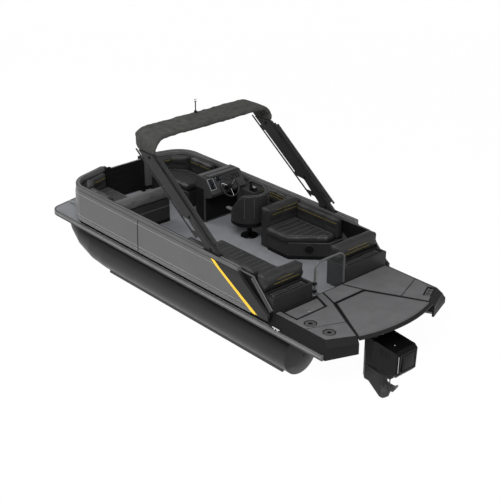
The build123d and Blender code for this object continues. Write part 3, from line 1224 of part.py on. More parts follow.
with BuildPart() as swivel:
    swivel_half = EAR_Y[0] - SWIVEL_GAP
    with BuildSketch(Plane.XZ.offset(-swivel_half)):
        with Locations(TRIM_AT):
            Circle(TRIM_TUBE_R)
    extrude(amount=2 * swivel_half)
    web = rectangle(STEER_X, TRIM_AT[0], -STEER_TUBE_R, STEER_TUBE_R)
    add(prism(web, TRIM_AT[1] - SWIVEL_WEB[0], TRIM_AT[1] + SWIVEL_WEB[1]))
    with BuildSketch(Plane.XY.offset(STEER_TUBE_Z[0])):
        with Locations((STEER_X, 0)):
            Circle(STEER_TUBE_R)
    extrude(amount=STEER_TUBE_Z[1] - STEER_TUBE_Z[0])
    with BuildSketch(Plane.XZ.offset(-2 * EAR_Y[0])):
        with Locations(TRIM_AT):
            Circle(TRIM_PIN_R + RUN_FIT)
    extrude(amount=4 * EAR_Y[0], mode=Mode.SUBTRACT)
    with BuildSketch():
        with Locations((STEER_X, 0)):
            Circle(STEER_PIN_R + RUN_FIT)
    extrude(amount=2 * STEER_TUBE_Z[1], mode=Mode.SUBTRACT)
save(swivel.part, "outboard_swivel")

# Leg: yokes on the steering pin, fairing, gearcase, plate above the propeller and skeg
LEG_HEAD_Z = 300.0
LEG_NOSE = 14.0            # half-breadth of the fairing's leading edge
# fairing's side outline: X behind the steering axis, height
LEG_SIDE = (
    (57.0, LEG_HEAD_Z), (51.0, -40.0), (53.0, SHAFT_Z), (105.0, SHAFT_Z - 30), (403.0, SHAFT_Z - 40),
    (485.0, SHAFT_Z - 20), (467.0, -190.0), (535.0, -60.0), (535.0, LEG_HEAD_Z),
)
# fairing's plan: X behind the steering axis, half-breadth
LEG_PLAN = ((51.0, LEG_NOSE), (125.0, LEG_HALF), (410.0, LEG_HALF), (536.0, LEG_HALF / 2))
# yoke's plan and neck: X behind the steering axis
YOKE_REAR = 95.0
NECK = (90.0, 335.0)
NECK_LOW = 250.0
PLATE_PLAN = ((105.0, 60.0), (415.0, 120.0), (655.0, 110.0))
leg_side = tuple((STEER_X - back, z) for back, z in LEG_SIDE)
leg_plan = tuple((STEER_X - back, half) for back, half in LEG_PLAN)
plate_plan = tuple((STEER_X - back, half) for back, half in PLATE_PLAN)


def mirrored(half_plan):
    """A plan closed by its own reflection in the centreline."""
    return (*half_plan, *((x, -y) for x, y in reversed(half_plan)))


with BuildPart() as leg:
    add(side_prism(leg_side, -LEG_HALF, LEG_HALF))
    add(prism(mirrored(leg_plan), 2 * SHAFT_Z, LEG_HEAD_Z), mode=Mode.INTERSECT)
    yoke = rectangle(STEER_X - YOKE_REAR, STEER_X + STEER_TUBE_R, -STEER_TUBE_R, STEER_TUBE_R)
    add(prism(yoke, STEER_TUBE_Z[1] + YOKE_GAP, STEER_TUBE_Z[1] + YOKE_H))
    add(prism(yoke, STEER_TUBE_Z[0] - YOKE_H, STEER_TUBE_Z[0] - YOKE_GAP))
    neck = rectangle(STEER_X - NECK[1], STEER_X - NECK[0], -STEER_TUBE_R, STEER_TUBE_R)
    add(prism(neck, NECK_LOW, STEER_TUBE_Z[1] + YOKE_H))
    with BuildSketch(Plane.XY.offset(STEER_TUBE_Z[0] - YOKE_H)):
        with Locations((STEER_X, 0)):
            Circle(STEER_PIN_R)
    extrude(amount=STEER_TUBE_Z[1] - STEER_TUBE_Z[0] + 2 * YOKE_H)
    with BuildSketch(Plane.XZ):
        case_top = (GEARCASE_X[1] - GEARCASE_NOSE, SHAFT_Z + GEARCASE_R)
        with BuildLine():
            Line((GEARCASE_X[0], SHAFT_Z), (GEARCASE_X[1], SHAFT_Z))
            RadiusArc((GEARCASE_X[1], SHAFT_Z), case_top, -1.5 * GEARCASE_NOSE)
            Line(case_top, (GEARCASE_X[0], SHAFT_Z + GEARCASE_R))
            Line((GEARCASE_X[0], SHAFT_Z + GEARCASE_R), (GEARCASE_X[0], SHAFT_Z))
        make_face()
    revolve(axis=Axis((0, 0, SHAFT_Z), (1, 0, 0)))
    with BuildSketch(Plane.YZ.offset(PROP_X[0] + SHAFT_SHORT)):
        with Locations((0, SHAFT_Z)):
            Circle(SHAFT_R)
    extrude(amount=GEARCASE_X[0] - PROP_X[0])
    skeg = (
        (GEARCASE_X[1] - GEARCASE_R / 2, SHAFT_Z - GEARCASE_R / 3), (SKEG_TIP[0] + SKEG_L / 2, SKEG_TIP[1]),
        (SKEG_TIP[0] - SKEG_L / 2, SKEG_TIP[1]), (SKEG_TIP[0] - GEARCASE_R, SHAFT_Z - GEARCASE_R / 3),
    )
    add(side_prism(skeg, -SKEG_HALF, SKEG_HALF))
    add(prism(mirrored(plate_plan), PLATE_Z, PLATE_Z + PLATE_THICK))
save(leg.part, "outboard_leg")

# Cowl: a faceted hood whose side outline is bevelled all round, open where the leg enters
cowl_outline = tuple((COWL_X[0] + share * (COWL_X[1] - COWL_X[0]), z) for share, z in COWL_OUTLINE)
with BuildPart() as cowl:
    add(side_prism(cowl_outline, -COWL_HALF, COWL_HALF))
    chamfer(cowl.faces().filter_by(Axis.Y).edges(), COWL_BEVEL)
    add(side_prism(leg_side, -LEG_HALF - SEAT_GAP, LEG_HALF + SEAT_GAP), mode=Mode.SUBTRACT)
save(cowl.part, "outboard_cowl")

# Propeller: hub and twisted blades
with BuildPart() as propeller:
    with BuildSketch(Plane.YZ.offset(PROP_X[0])):
        with Locations((0, SHAFT_Z)):
            Circle(HUB_R)
    extrude(amount=PROP_L)
    hub_middle = Vector((PROP_X[0] + PROP_X[1]) / 2, 0, SHAFT_Z)
    for index in range(BLADE_COUNT):
        around = radians(90 + index * 360 / BLADE_COUNT)
        out = Vector(0, cos(around), sin(around))
        across = Vector(0, -sin(around), cos(around))
        for radius, chord, thick, pitch in BLADE_SECTIONS:
            along = Vector(1, 0, 0) * sin(radians(pitch)) + across * cos(radians(pitch))
            with BuildSketch(Plane(hub_middle + out * radius, x_dir=along, z_dir=out)):
                Rectangle(chord, thick)
        loft(ruled=True)
    with BuildSketch(Plane.YZ.offset(PROP_X[0] + SHAFT_SHORT - SEAM)):
        with Locations((0, SHAFT_Z)):
            Circle(SHAFT_R + RUN_FIT)
    extrude(amount=PROP_L, mode=Mode.SUBTRACT)
save(propeller.part, "propeller")

# Cleats on the deck edge and the platform's side
with BuildPart() as cleats:
    bar_z = DECK_TOP + CLEAT_FOOT
    for x, y in CLEATS:
        for foot in (x - CLEAT_FOOT, x + CLEAT_FOOT):
            foot_plan = rectangle(foot - CLEAT_W / 2, foot + CLEAT_W / 2, y - CLEAT_W / 2, y + CLEAT_W / 2)
            add(prism(foot_plan, DECK_TOP, bar_z))
        bar_plan = rectangle(x - CLEAT_L / 2, x + CLEAT_L / 2, y - CLEAT_W / 2, y + CLEAT_W / 2)
        add(prism(bar_plan, bar_z, bar_z + CLEAT_BAR))
    mirror(about=Plane.XZ)
save(cleats.part, "cleats")
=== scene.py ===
"""Looks of the pontoon boat: finishes, upholstery, canvas, deck mats, trim, light and camera."""
import json
import math
import bmesh
import bpy
from mathutils import Matrix, Vector, noise
from mathutils.bvhtree import BVHTree


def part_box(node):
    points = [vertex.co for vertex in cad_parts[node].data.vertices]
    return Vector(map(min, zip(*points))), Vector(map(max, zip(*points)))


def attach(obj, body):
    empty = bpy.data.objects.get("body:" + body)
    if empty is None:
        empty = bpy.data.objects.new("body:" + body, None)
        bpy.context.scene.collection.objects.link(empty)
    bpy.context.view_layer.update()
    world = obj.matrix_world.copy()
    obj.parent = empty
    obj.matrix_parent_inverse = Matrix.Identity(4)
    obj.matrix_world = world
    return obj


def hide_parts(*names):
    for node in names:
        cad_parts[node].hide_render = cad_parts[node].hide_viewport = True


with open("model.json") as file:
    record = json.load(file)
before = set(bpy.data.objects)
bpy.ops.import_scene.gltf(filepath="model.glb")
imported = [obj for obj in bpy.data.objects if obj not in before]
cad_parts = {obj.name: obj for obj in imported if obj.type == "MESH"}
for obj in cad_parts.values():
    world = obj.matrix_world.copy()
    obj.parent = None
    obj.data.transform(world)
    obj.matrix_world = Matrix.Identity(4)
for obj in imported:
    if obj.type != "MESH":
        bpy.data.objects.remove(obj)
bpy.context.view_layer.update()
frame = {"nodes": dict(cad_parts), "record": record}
NODES = frame["nodes"]
BOAT = "boat"

# Directions and sides
UP, DOWN = (0, 0, 1), (0, 0, -1)
TO_BOW, TO_STERN = (1, 0, 0), (-1, 0, 0)
TO_PORT, TO_STARBOARD = (0, 1, 0), (0, -1, 0)
TO_BOW_PORT, TO_BOW_STARBOARD = (0.7071, 0.7071, 0), (0.7071, -0.7071, 0)
SIDES = (("port", 1), ("starboard", -1))

# Camera, from the photograph's fitted view
CAMERA_AT = Vector((-12.515, 10.754, 8.493))
CAMERA_LOOKS_AT = Vector((-0.427, 0.0, 0.727))
LENS_MM = 81.4

# Levels that many pieces share, read from the frame
PLAT_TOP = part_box("platform_port")[1].z
CAP_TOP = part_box("cap_rail")[1].z
FENCE_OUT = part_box("wall_panels_port")[1].y

# Finishes
GLOSS_SPREAD = 0.1
GRAIN_STRENGTH = 0.6
COAT_ROUGH = 0.08


def shader(name):
    """A new material with its node tree, shader and object coordinates."""
    material = bpy.data.materials.new(name)
    material.use_nodes = True
    tree = material.node_tree
    bsdf = tree.nodes["Principled BSDF"]
    coords = tree.nodes.new("ShaderNodeTexCoord").outputs["Object"]
    return material, tree, bsdf, coords


def texture(tree, kind, coords, scale, stretch=(1, 1, 1), **settings):
    """A procedural texture node on scaled coordinates."""
    mapping = tree.nodes.new("ShaderNodeMapping")
    mapping.inputs["Scale"].default_value = stretch
    tree.links.new(coords, mapping.inputs["Vector"])
    node = tree.nodes.new(kind)
    tree.links.new(mapping.outputs["Vector"], node.inputs["Vector"])
    node.inputs["Scale"].default_value = scale
    for key, value in settings.items():
        if key in node.inputs:
            node.inputs[key].default_value = value
        else:
            setattr(node, key, value)
    return node


def between(tree, value, low, high):
    """Maps a 0 to 1 value between two numbers."""
    node = tree.nodes.new("ShaderNodeMapRange")
    node.inputs["To Min"].default_value = low
    node.inputs["To Max"].default_value = high
    tree.links.new(value, node.inputs["Value"])
    return node.outputs["Result"]


def grain_height(tree, coords, grain, scale):
    """The height field of a surface's fine relief."""
    if grain == "pebble":
        cells = texture(tree, "ShaderNodeTexVoronoi", coords, scale, feature="SMOOTH_F1")
        return cells.outputs["Distance"]
    if grain == "weave":
        crossed = tree.nodes.new("ShaderNodeMath")
        crossed.operation = "MULTIPLY"
        for socket, way in zip(crossed.inputs, "XY"):
            yarns = texture(tree, "ShaderNodeTexWave", coords, scale, bands_direction=way, Distortion=0.6)
            tree.links.new(yarns.outputs["Fac"], socket)
        return crossed.outputs[0]
    if grain == "rib":
        ribs = texture(tree, "ShaderNodeTexWave", coords, scale, bands_direction="Y", Distortion=0.0)
        return ribs.outputs["Fac"]
    stretch = (0.03, 1, 1) if grain == "brushed" else (1, 1, 1)
    specks = texture(tree, "ShaderNodeTexNoise", coords, scale, stretch, Detail=4.0)
    return specks.outputs["Fac"]


def finish(
    name, colour, rough, metallic=0.0, mottle=0.12, mottle_scale=2.5, grain="noise", grain_scale=260.0,
    grain_depth=0.0003, coat=0.0, specular=0.5,
):
    """A surface with clouded colour and gloss over fine relief."""
    material, tree, bsdf, coords = shader(name)
    clouds = texture(tree, "ShaderNodeTexNoise", coords, mottle_scale, Detail=6.0, Roughness=0.62)
    ramp = tree.nodes.new("ShaderNodeValToRGB")
    ramp.color_ramp.elements[0].position = 0.3
    ramp.color_ramp.elements[1].position = 0.7
    for element, share in zip(ramp.color_ramp.elements, (1 - mottle, 1 + mottle)):
        element.color = (*(min(1.0, c * share) for c in colour), 1.0)
    tree.links.new(clouds.outputs["Fac"], ramp.inputs["Fac"])
    tree.links.new(ramp.outputs["Color"], bsdf.inputs["Base Color"])
    scuffs = texture(tree, "ShaderNodeTexNoise", coords, mottle_scale * 9, Detail=5.0)
    smoothest, roughest = max(0.03, rough - GLOSS_SPREAD), min(1.0, rough + GLOSS_SPREAD)
    tree.links.new(between(tree, scuffs.outputs["Fac"], smoothest, roughest), bsdf.inputs["Roughness"])
    bump = tree.nodes.new("ShaderNodeBump")
    bump.inputs["Strength"].default_value = GRAIN_STRENGTH
    bump.inputs["Distance"].default_value = grain_depth
    tree.links.new(grain_height(tree, coords, grain, grain_scale), bump.inputs["Height"])
    tree.links.new(bump.outputs["Normal"], bsdf.inputs["Normal"])
    bsdf.inputs["Metallic"].default_value = metallic
    bsdf.inputs["Coat Weight"].default_value = coat
    bsdf.inputs["Coat Roughness"].default_value = COAT_ROUGH
    bsdf.inputs["Specular IOR Level"].default_value = specular
    return material


def pane_finish():
    """Smoked clear sheet with faint streaks."""
    material, tree, bsdf, coords = shader("smoked_pane")
    streaks = texture(tree, "ShaderNodeTexNoise", coords, 5.0, (1, 0.2, 1), Detail=3.0)
    tree.links.new(between(tree, streaks.outputs["Fac"], 0.08, 0.16), bsdf.inputs["Roughness"])
    tree.links.new(between(tree, streaks.outputs["Fac"], 0.06, 0.12), bsdf.inputs["Alpha"])
    bsdf.inputs["Base Color"].default_value = (0.1, 0.105, 0.11, 1)
    bsdf.inputs["Specular IOR Level"].default_value = 0.4
    return material


# Paint and rubber
GREY_WALL = finish("grey_wall_paint", (0.07, 0.07, 0.07), 0.42, mottle=0.06, mottle_scale=1.4, coat=0.15)
QUARTER_PAINT = finish(
    "quarter_paint", (0.011, 0.011, 0.0115), 0.45, mottle=0.1, grain_scale=320, specular=0.28)
STRIPE_PAINT = finish("stripe_yellow", (0.9, 0.55, 0.004), 0.35, mottle=0.05, coat=0.3, grain_scale=300)
TUBE_PAINT = finish(
    "tube_paint", (0.012, 0.012, 0.0125), 0.36, mottle=0.16, mottle_scale=1.6, specular=0.28)
ARCH_PAINT = finish(
    "arch_powder_coat", (0.012, 0.012, 0.012), 0.5, mottle=0.15, grain_scale=520, grain_depth=0.0002,
    specular=0.25)
HOOP_PAINT = finish("hoop_tube", (0.065, 0.065, 0.066), 0.42, grain_scale=400, specular=0.35)
PROP_PAINT = finish("prop_paint", (0.008, 0.008, 0.008), 0.4, mottle=0.25, specular=0.3)
ENGINE_GLOSS = finish(
    "cowl_gloss", (0.003, 0.003, 0.003), 0.22, mottle=0.25, coat=0.06, grain_scale=90, specular=0.1)
ENGINE_SATIN = finish(
    "engine_satin", (0.004, 0.004, 0.004), 0.42, mottle=0.25, grain_scale=300, specular=0.1)
RAIL_RUBBER = finish("rub_rail_vinyl", (0.1, 0.1, 0.1), 0.55, mottle=0.1, grain_scale=180, specular=0.35)
RAIL_DARK = finish("rub_rail_foot", (0.03, 0.03, 0.03), 0.6, mottle=0.15, grain_scale=180, specular=0.25)

# Mouldings
CAP_GREY = finish(
    "cap_rail_moulding", (0.08, 0.08, 0.081), 0.5, grain="pebble", grain_scale=420, specular=0.35)
BLACK_PLASTIC = finish(
    "black_moulding", (0.004, 0.004, 0.004), 0.6, mottle=0.25, grain="pebble", specular=0.12)
BENCH_PLASTIC = finish(
    "bench_moulding", (0.016, 0.016, 0.016), 0.5, mottle=0.18, grain="pebble", grain_scale=380,
    specular=0.25)
POD_PLASTIC = finish(
    "platform_moulding", (0.008, 0.008, 0.0083), 0.5, mottle=0.12, grain="pebble", grain_scale=300,
    specular=0.12)
CONSOLE_PLASTIC = finish(
    "console_moulding", (0.028, 0.028, 0.028), 0.48, mottle=0.14, grain="pebble", grain_scale=420,
    specular=0.3)
POD_GREY = finish(
    "socket_plate", (0.05, 0.05, 0.051), 0.5, mottle=0.12, grain="pebble", grain_scale=300, specular=0.2)

# Floor coverings, upholstery and canvas
MAT = finish(
    "platform_mat", (0.083, 0.083, 0.085), 0.85, mottle=0.1, mottle_scale=5.0, grain="rib",
    grain_scale=36, grain_depth=0.0012, specular=0.2)
FLOOR_WEAVE = finish(
    "deck_weave", (0.15, 0.153, 0.162), 0.8, mottle=0.1, mottle_scale=3.5, grain="weave",
    grain_scale=90, grain_depth=0.0009, specular=0.25)
VINYL = finish(
    "upholstery_vinyl", (0.014, 0.014, 0.0142), 0.5, mottle=0.2, mottle_scale=4.0, grain="pebble",
    grain_scale=330, grain_depth=0.0006, specular=0.3)
VINYL_DARK = finish(
    "upholstery_dark", (0.008, 0.008, 0.008), 0.6, mottle=0.25, mottle_scale=5.0, grain="weave",
    grain_scale=160, grain_depth=0.0006, specular=0.2)
VINYL_LIGHT = finish(
    "upholstery_grey", (0.07, 0.07, 0.07), 0.5, mottle=0.14, mottle_scale=5.0, grain="pebble",
    grain_scale=330, grain_depth=0.0006, specular=0.3)
THREAD = finish(
    "yellow_welt", (0.17, 0.125, 0.009), 0.65, mottle=0.2, mottle_scale=30, grain="rib", grain_scale=240)
PIPING = finish(
    "grey_piping", (0.06, 0.06, 0.06), 0.55, mottle=0.15, mottle_scale=30, grain="rib", grain_scale=240)
CANVAS = finish(
    "stowed_canvas", (0.04, 0.04, 0.038), 0.9, mottle=0.3, mottle_scale=9.0, grain="weave",
    grain_scale=240, grain_depth=0.0007, specular=0.15)

# Metal, trim, screens and panes
STEEL = finish("polished_steel", (0.72, 0.72, 0.72), 0.16, metallic=1.0, mottle=0.05, grain="brushed")
ALUMINIUM = finish("mill_aluminium", (0.3, 0.3, 0.31), 0.45, metallic=1.0, mottle=0.1, grain="brushed")
GUNMETAL = finish("dark_fitting", (0.06, 0.06, 0.061), 0.35, metallic=1.0, mottle=0.15, grain="brushed")
LIGHT_TRIM = finish("light_trim", (0.2, 0.2, 0.205), 0.4, mottle=0.08, grain="brushed", grain_scale=300)
DULL_TRIM = finish(
    "dull_trim", (0.07, 0.07, 0.071), 0.5, mottle=0.12, grain="brushed", grain_scale=300, specular=0.35)
SCREEN = finish("dark_screen", (0.004, 0.005, 0.007), 0.08, mottle=0.3, coat=0.6, grain_depth=0.00002)
LENS = finish("lamp_lens", (0.75, 0.75, 0.72), 0.2, mottle=0.05, coat=0.5, grain_scale=120)
PANE = pane_finish()

# Which finish each record slot takes on the CAD nodes
SLOT_FINISH = {
    "tube_charcoal": TUBE_PAINT, "bare_aluminium": ALUMINIUM, "deck_floor": FLOOR_WEAVE,
    "rub_rail": RAIL_RUBBER, "side_grey": GREY_WALL, "quarter_dark": QUARTER_PAINT,
    "stripe_yellow": STRIPE_PAINT, "base_black": BLACK_PLASTIC, "cap_grey": CAP_GREY,
    "gate_black": BLACK_PLASTIC, "bench_moulding": BENCH_PLASTIC, "upholstery": VINYL,
    "gate_tube": HOOP_PAINT, "clear_pane": PANE, "ladder_grey": HOOP_PAINT,
    "platform_moulding": POD_PLASTIC, "fitting_black": BLACK_PLASTIC, "console_grey": CONSOLE_PLASTIC,
    "wheel_black": BLACK_PLASTIC, "pedestal_black": ENGINE_GLOSS, "arch_dark": ARCH_PAINT,
    "canvas": CANVAS, "engine_black": ENGINE_SATIN, "engine_gloss": ENGINE_GLOSS,
    "prop_metal": PROP_PAINT, "bright_metal": STEEL,
}
for part in frame["record"]["subparts"]:
    node_mesh = NODES[part["node"]].data
    node_mesh.materials.clear()
    node_mesh.materials.append(SLOT_FINISH[part["material_slot"]])

# Mesh helpers
SHARP = math.radians(40)
WELD_REACH = 1e-5


def linked(name, bm):
    """A new object of the scene from a bmesh, which is used up."""
    mesh = bpy.data.meshes.new(name)
    bm.to_mesh(mesh)
    bm.free()
    obj = bpy.data.objects.new(name, mesh)
    bpy.context.scene.collection.objects.link(obj)
    return obj


def applied(obj):
    """A new mesh of an object with its modifiers applied; the object loses them."""
    mesh = bpy.data.meshes.new_from_object(obj.evaluated_get(bpy.context.evaluated_depsgraph_get()))
    obj.modifiers.clear()
    return mesh


def remeshed(obj, voxel):
    """Gives an object an even mesh."""
    remesh = obj.modifiers.new("even", "REMESH")
    remesh.mode = "VOXEL"
    remesh.voxel_size = voxel


def refined(obj):
    """Gives an object one level of smooth subdivision."""
    fine = obj.modifiers.new("fine", "SUBSURF")
    fine.levels = fine.render_levels = 1


def piece(name, bm, material, body=BOAT):
    """Turns a bmesh into a piece that rides on a body."""
    bmesh.ops.recalc_face_normals(bm, faces=bm.faces)
    obj = linked(name, bm)
    obj.data.materials.append(material)
    obj.data.shade_smooth()
    obj.data.set_sharp_from_angle(angle=SHARP)
    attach(obj, body)
    return obj


def raised(bm, outline, low, high, edge):
    """Adds a plan outline raised between two heights, with a bevelled top edge."""
    ring = [bm.verts.new((x, y, low)) for x, y in outline]
    base = bm.faces.new(ring)
    grown = bmesh.ops.extrude_face_region(bm, geom=[base])
    tops = [v for v in grown["geom"] if isinstance(v, bmesh.types.BMVert)]
    bmesh.ops.translate(bm, verts=tops, vec=(0, 0, high - low))
    rim = [e for e in bm.edges if e.verts[0] in tops and e.verts[1] in tops]
    if edge:
        bmesh.ops.bevel(bm, geom=rim, offset=edge, segments=2, profile=0.6, affect="EDGES")


def block(bm, low, high, edge, turn=Matrix()):
    """Adds a bevelled block between two corners, turned about its middle if asked."""
    low, high = Vector(low), Vector(high)
    place = Matrix.Translation((low + high) / 2) @ turn @ Matrix.Diagonal((*(high - low), 1))
    made = bmesh.ops.create_cube(bm, size=1.0, matrix=place)
    edges = {e for v in made["verts"] for e in v.link_edges}
    bmesh.ops.bevel(bm, geom=list(edges), offset=edge, segments=3, profile=0.6, affect="EDGES")


def circle(steps, turn=0.0):
    """Evenly spaced points of a unit circle."""
    angles = [turn + 2 * math.pi * i / steps for i in range(steps)]
    return [(math.cos(a), math.sin(a)) for a in angles]


def turned(bm, profile, centre, axis, steps):
    """Adds a shape turned about an axis from (radius, height) points."""
    turn = Vector(UP).rotation_difference(Vector(axis)).to_matrix().to_4x4()
    place = Matrix.Translation(centre) @ turn
    rings = []
    for radius, height in profile:
        spots = circle(steps) if radius else [(0, 0)]
        rings.append([bm.verts.new(place @ Vector((radius * x, radius * y, height))) for x, y in spots])
    for first, second in zip(rings, rings[1:]):
        for i in range(steps):
            j = (i + 1) % steps
            around = ((first, i), (first, j), (second, j), (second, i))
            unique = list(dict.fromkeys(ring[k % len(ring)] for ring, k in around))
            if len(unique) > 2:
                bm.faces.new(unique)


def lofted(bm, rings):
    """Adds a closed skin over rings of equally many points."""
    count = len(rings[0])
    for first, second in zip(rings, rings[1:]):
        for k in range(count):
            j = (k + 1) % count
            bm.faces.new((first[k], first[j], second[j], second[k]))
    bm.faces.new(rings[0][::-1])
    bm.faces.new(rings[-1])


def rod(bm, points, radius, steps):
    """Adds a round rod along points, with closed ends."""
    points = [Vector(p) for p in points]
    rings = []
    side = None
    for i, point in enumerate(points):
        ahead = (points[min(i + 1, len(points) - 1)] - points[max(i - 1, 0)]).normalized()
        if side is None:
            side = ahead.orthogonal().normalized()
        side = (side - ahead * side.dot(ahead)).normalized()
        up = ahead.cross(side)
        rings.append([bm.verts.new(point + radius * (x * side + y * up)) for x, y in circle(steps)])
    lofted(bm, rings)


def islands(node):
    """The separate solids of a node, each as a bmesh with its seams joined."""
    whole = bmesh.new()
    whole.from_mesh(NODES[node].data)
    bmesh.ops.remove_doubles(whole, verts=whole.verts, dist=WELD_REACH)
    left = set(whole.verts)
    groups = []
    while left:
        stack = [left.pop()]
        group = set(stack)
        while stack:
            for edge in stack.pop().link_edges:
                for vert in edge.verts:
                    if vert in left:
                        left.discard(vert)
                        group.add(vert)
                        stack.append(vert)
        groups.append(group)
    out = []
    for group in groups:
        one = bmesh.new()
        index = {v: one.verts.new(v.co) for v in group}
        for face in whole.faces:
            if face.verts[0] in group:
                one.faces.new([index[v] for v in face.verts])
        out.append(one)
    whole.free()
    return out


def box_of(verts):
    """Lowest and highest corner of a mesh's vertices."""
    low = Vector(min(v.co[i] for v in verts) for i in range(3))
    high = Vector(max(v.co[i] for v in verts) for i in range(3))
    return low, high


# Upholstery: each pad starts a little smaller than its solid and is blown up as cloth
# The pad's seams and its foot are held down
PAD_INSET = 0.012
PAD_FOOT = 1.6 * PAD_INSET
PAD_SWELL = 0.02
PAD_VOXEL = 0.017
CLOTH_STEPS = 18
CLOTH_QUALITY = 4
PRESSURE = 4.5
SEAM_HALF = 0.011
# node: record body, finish, seam spacing along X, along Y and along Z (0 is none), fill
PADS = {
    "bow_seat_cushions": (BOAT, VINYL, 0.24, 0.0, 0.0, 0.7),
    "bow_backrests": (BOAT, VINYL, 0.31, 0.0, 0.2, 0.7),
    "lounge_back_pad": (BOAT, VINYL_LIGHT, 0.0, 0.38, 0.0, 0.7),
    "bench_seats": (BOAT, VINYL, 0.26, 0.31, 0.0, 0.7),
    "bench_backs": (BOAT, VINYL, 0.31, 0.0, 0.2, 0.7),
    "bench_front_back": (BOAT, VINYL, 0.0, 0.38, 0.23, 0.8),
    "stern_lounge_pads": (BOAT, VINYL_DARK, 0.0, 0.35, 0.0, 0.5),
    "stern_lounge_backs": (BOAT, VINYL, 0.0, 0.4, 0.0, 0.7),
    "chair_seat": ("helm_chair", VINYL, 0.0, 0.18, 0.0, 0.7),
    "chair_back": ("helm_chair", VINYL, 0.0, 0.17, 0.18, 0.7),
    "helm_bolster": (BOAT, VINYL, 0.37, 0.0, 0.0, 0.7),
}


def seam_planes(low, high, pitch):
    """Evenly spaced seam places between two ends, about one pitch apart."""
    count = round((high - low) / pitch) if pitch else 0
    return [low + (high - low) * (i + 1) / count for i in range(count - 1)]


def start_pad(name, bm, pitches):
    """Shrinks and remeshes a pad and gives it cloth held at its seams and foot."""
    low, high = box_of(bm.verts)
    middle = (low + high) / 2
    shrink = [1 - 2 * PAD_INSET / (high[i] - low[i]) for i in range(3)]
    for vert in bm.verts:
        for i in range(3):
            vert.co[i] = middle[i] + (vert.co[i] - middle[i]) * shrink[i]
    obj = linked(name, bm)
    remeshed(obj, PAD_VOXEL)
    even = applied(obj)
    obj.data = even
    seams = [(i, place) for i in range(3) for place in seam_planes(low[i], high[i], pitches[i])]
    held = [
        v.index for v in even.vertices
        if v.co.z < low.z + PAD_FOOT or any(abs(v.co[i] - place) < SEAM_HALF for i, place in seams)
    ]
    group = obj.vertex_groups.new(name="held")
    group.add(held, 1.0, "REPLACE")
    cloth = obj.modifiers.new("cloth", "CLOTH")
    cloth.settings.use_pressure = True
    cloth.settings.uniform_pressure_force = PRESSURE
    cloth.settings.vertex_group_mass = "held"
    cloth.settings.effector_weights.gravity = 0
    cloth.collision_settings.use_collision = False
    cloth.settings.quality = CLOTH_QUALITY
    return obj, low, high


def settle_pads(pads):
    """Steps the cloth, then keeps the swollen meshes inside their solids."""
    scene = bpy.context.scene
    for step in range(1, CLOTH_STEPS + 1):
        scene.frame_set(step)
    graph = bpy.context.evaluated_depsgraph_get()
    for obj, low, high, body, material, node, fill in pads:
        rest = [v.co.copy() for v in obj.data.vertices]
        mesh = bpy.data.meshes.new_from_object(obj.evaluated_get(graph))
        obj.modifiers.clear()
        for vert, start in zip(mesh.vertices, rest):
            move = vert.co - start
            if move.length > PAD_SWELL:
                move *= PAD_SWELL / move.length
            vert.co = [min(max((start + move)[i], low[i]), high[i]) for i in range(3)]
        obj.data = mesh
        mesh.materials.clear()
        mesh.materials.append(material)
        mesh.shade_smooth()
        refined(obj)
        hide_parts(node)
        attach(obj, body)
    scene.frame_set(1)


def make_pads():
    """Every cushion of the boat; returns them by node."""
    started = []
    by_node = {}
    for node, (body, material, along_x, along_y, along_z, fill) in PADS.items():
        for number, bm in enumerate(islands(node)):
            obj, low, high = start_pad(f"{node}_pad_{number}", bm, (along_x, along_y, along_z))
            started.append((obj, low, high, body, material, node, fill))
            by_node.setdefault(node, []).append(obj)
    settle_pads(started)
    return by_node


PAD_OBJECTS = make_pads()

# Laid lines: points dropped onto finished surfaces
LAID_PROUD = 0.001
CAST_REACH = 0.6
CAST_ABOVE = 0.2
FINE_STEPS = 8


def surface_of(objects):
    """A search tree of the objects' finished surfaces."""
    graph = bpy.context.evaluated_depsgraph_get()
    points, polygons = [], []
    for obj in objects:
        mesh = obj.evaluated_get(graph).to_mesh()
        base = len(points)
        points += [v.co.copy() for v in mesh.vertices]
        polygons += [[base + i for i in p.vertices] for p in mesh.polygons]
    return BVHTree.FromPolygons(points, polygons)


def struck(tree, start, look):
    """The place where a ray meets a surface, or None."""
    return tree.ray_cast(Vector(start), Vector(look), CAST_REACH)[0]


def laid(tree, points, look):
    """Points dropped onto a surface in the given direction."""
    hits = [struck(tree, point, look) for point in points]
    return [hit - Vector(look) * LAID_PROUD for hit in hits if hit is not None]


def laid_line(tree, start, end, look, steps=28):
    """Points along a line, dropped onto a surface."""
    start, end = Vector(start), Vector(end)
    return laid(tree, [start.lerp(end, i / steps) for i in range(steps + 1)], look)


def plan_hull(points):
    """The convex outline of plan points, anticlockwise from the sternmost."""
    places = sorted({(round(x, 5), round(y, 5)) for x, y in points})

    def half(run):
        chain = []
        for point in run:
            while len(chain) > 1:
                first, second = Vector(chain[-1]) - Vector(chain[-2]), Vector(point) - Vector(chain[-1])
                if first.cross(second) > 0:
                    break
                chain.pop()
            chain.append(point)
        return chain[:-1]

    return half(places) + half(places[::-1])


def drawn_in(outline, inset):
    """An anticlockwise outline moved inwards."""
    out = []
    for i, point in enumerate(outline):
        along = (Vector(outline[(i + 1) % len(outline)]) - Vector(outline[i - 1])).normalized()
        out.append(Vector(point) + inset * Vector((-along.y, along.x)))
    return out


def evenly(outline, step):
    """A closed outline with points about one step apart, ending where it starts."""
    out = []
    for i, point in enumerate(outline):
        start, end = Vector(point), Vector(outline[(i + 1) % len(outline)])
        count = max(1, round((end - start).length / step))
        out += [start.lerp(end, k / count) for k in range(count)]
    return out + [out[0]]


# Yellow welts sewn along the backs
WELT_R = 0.0026
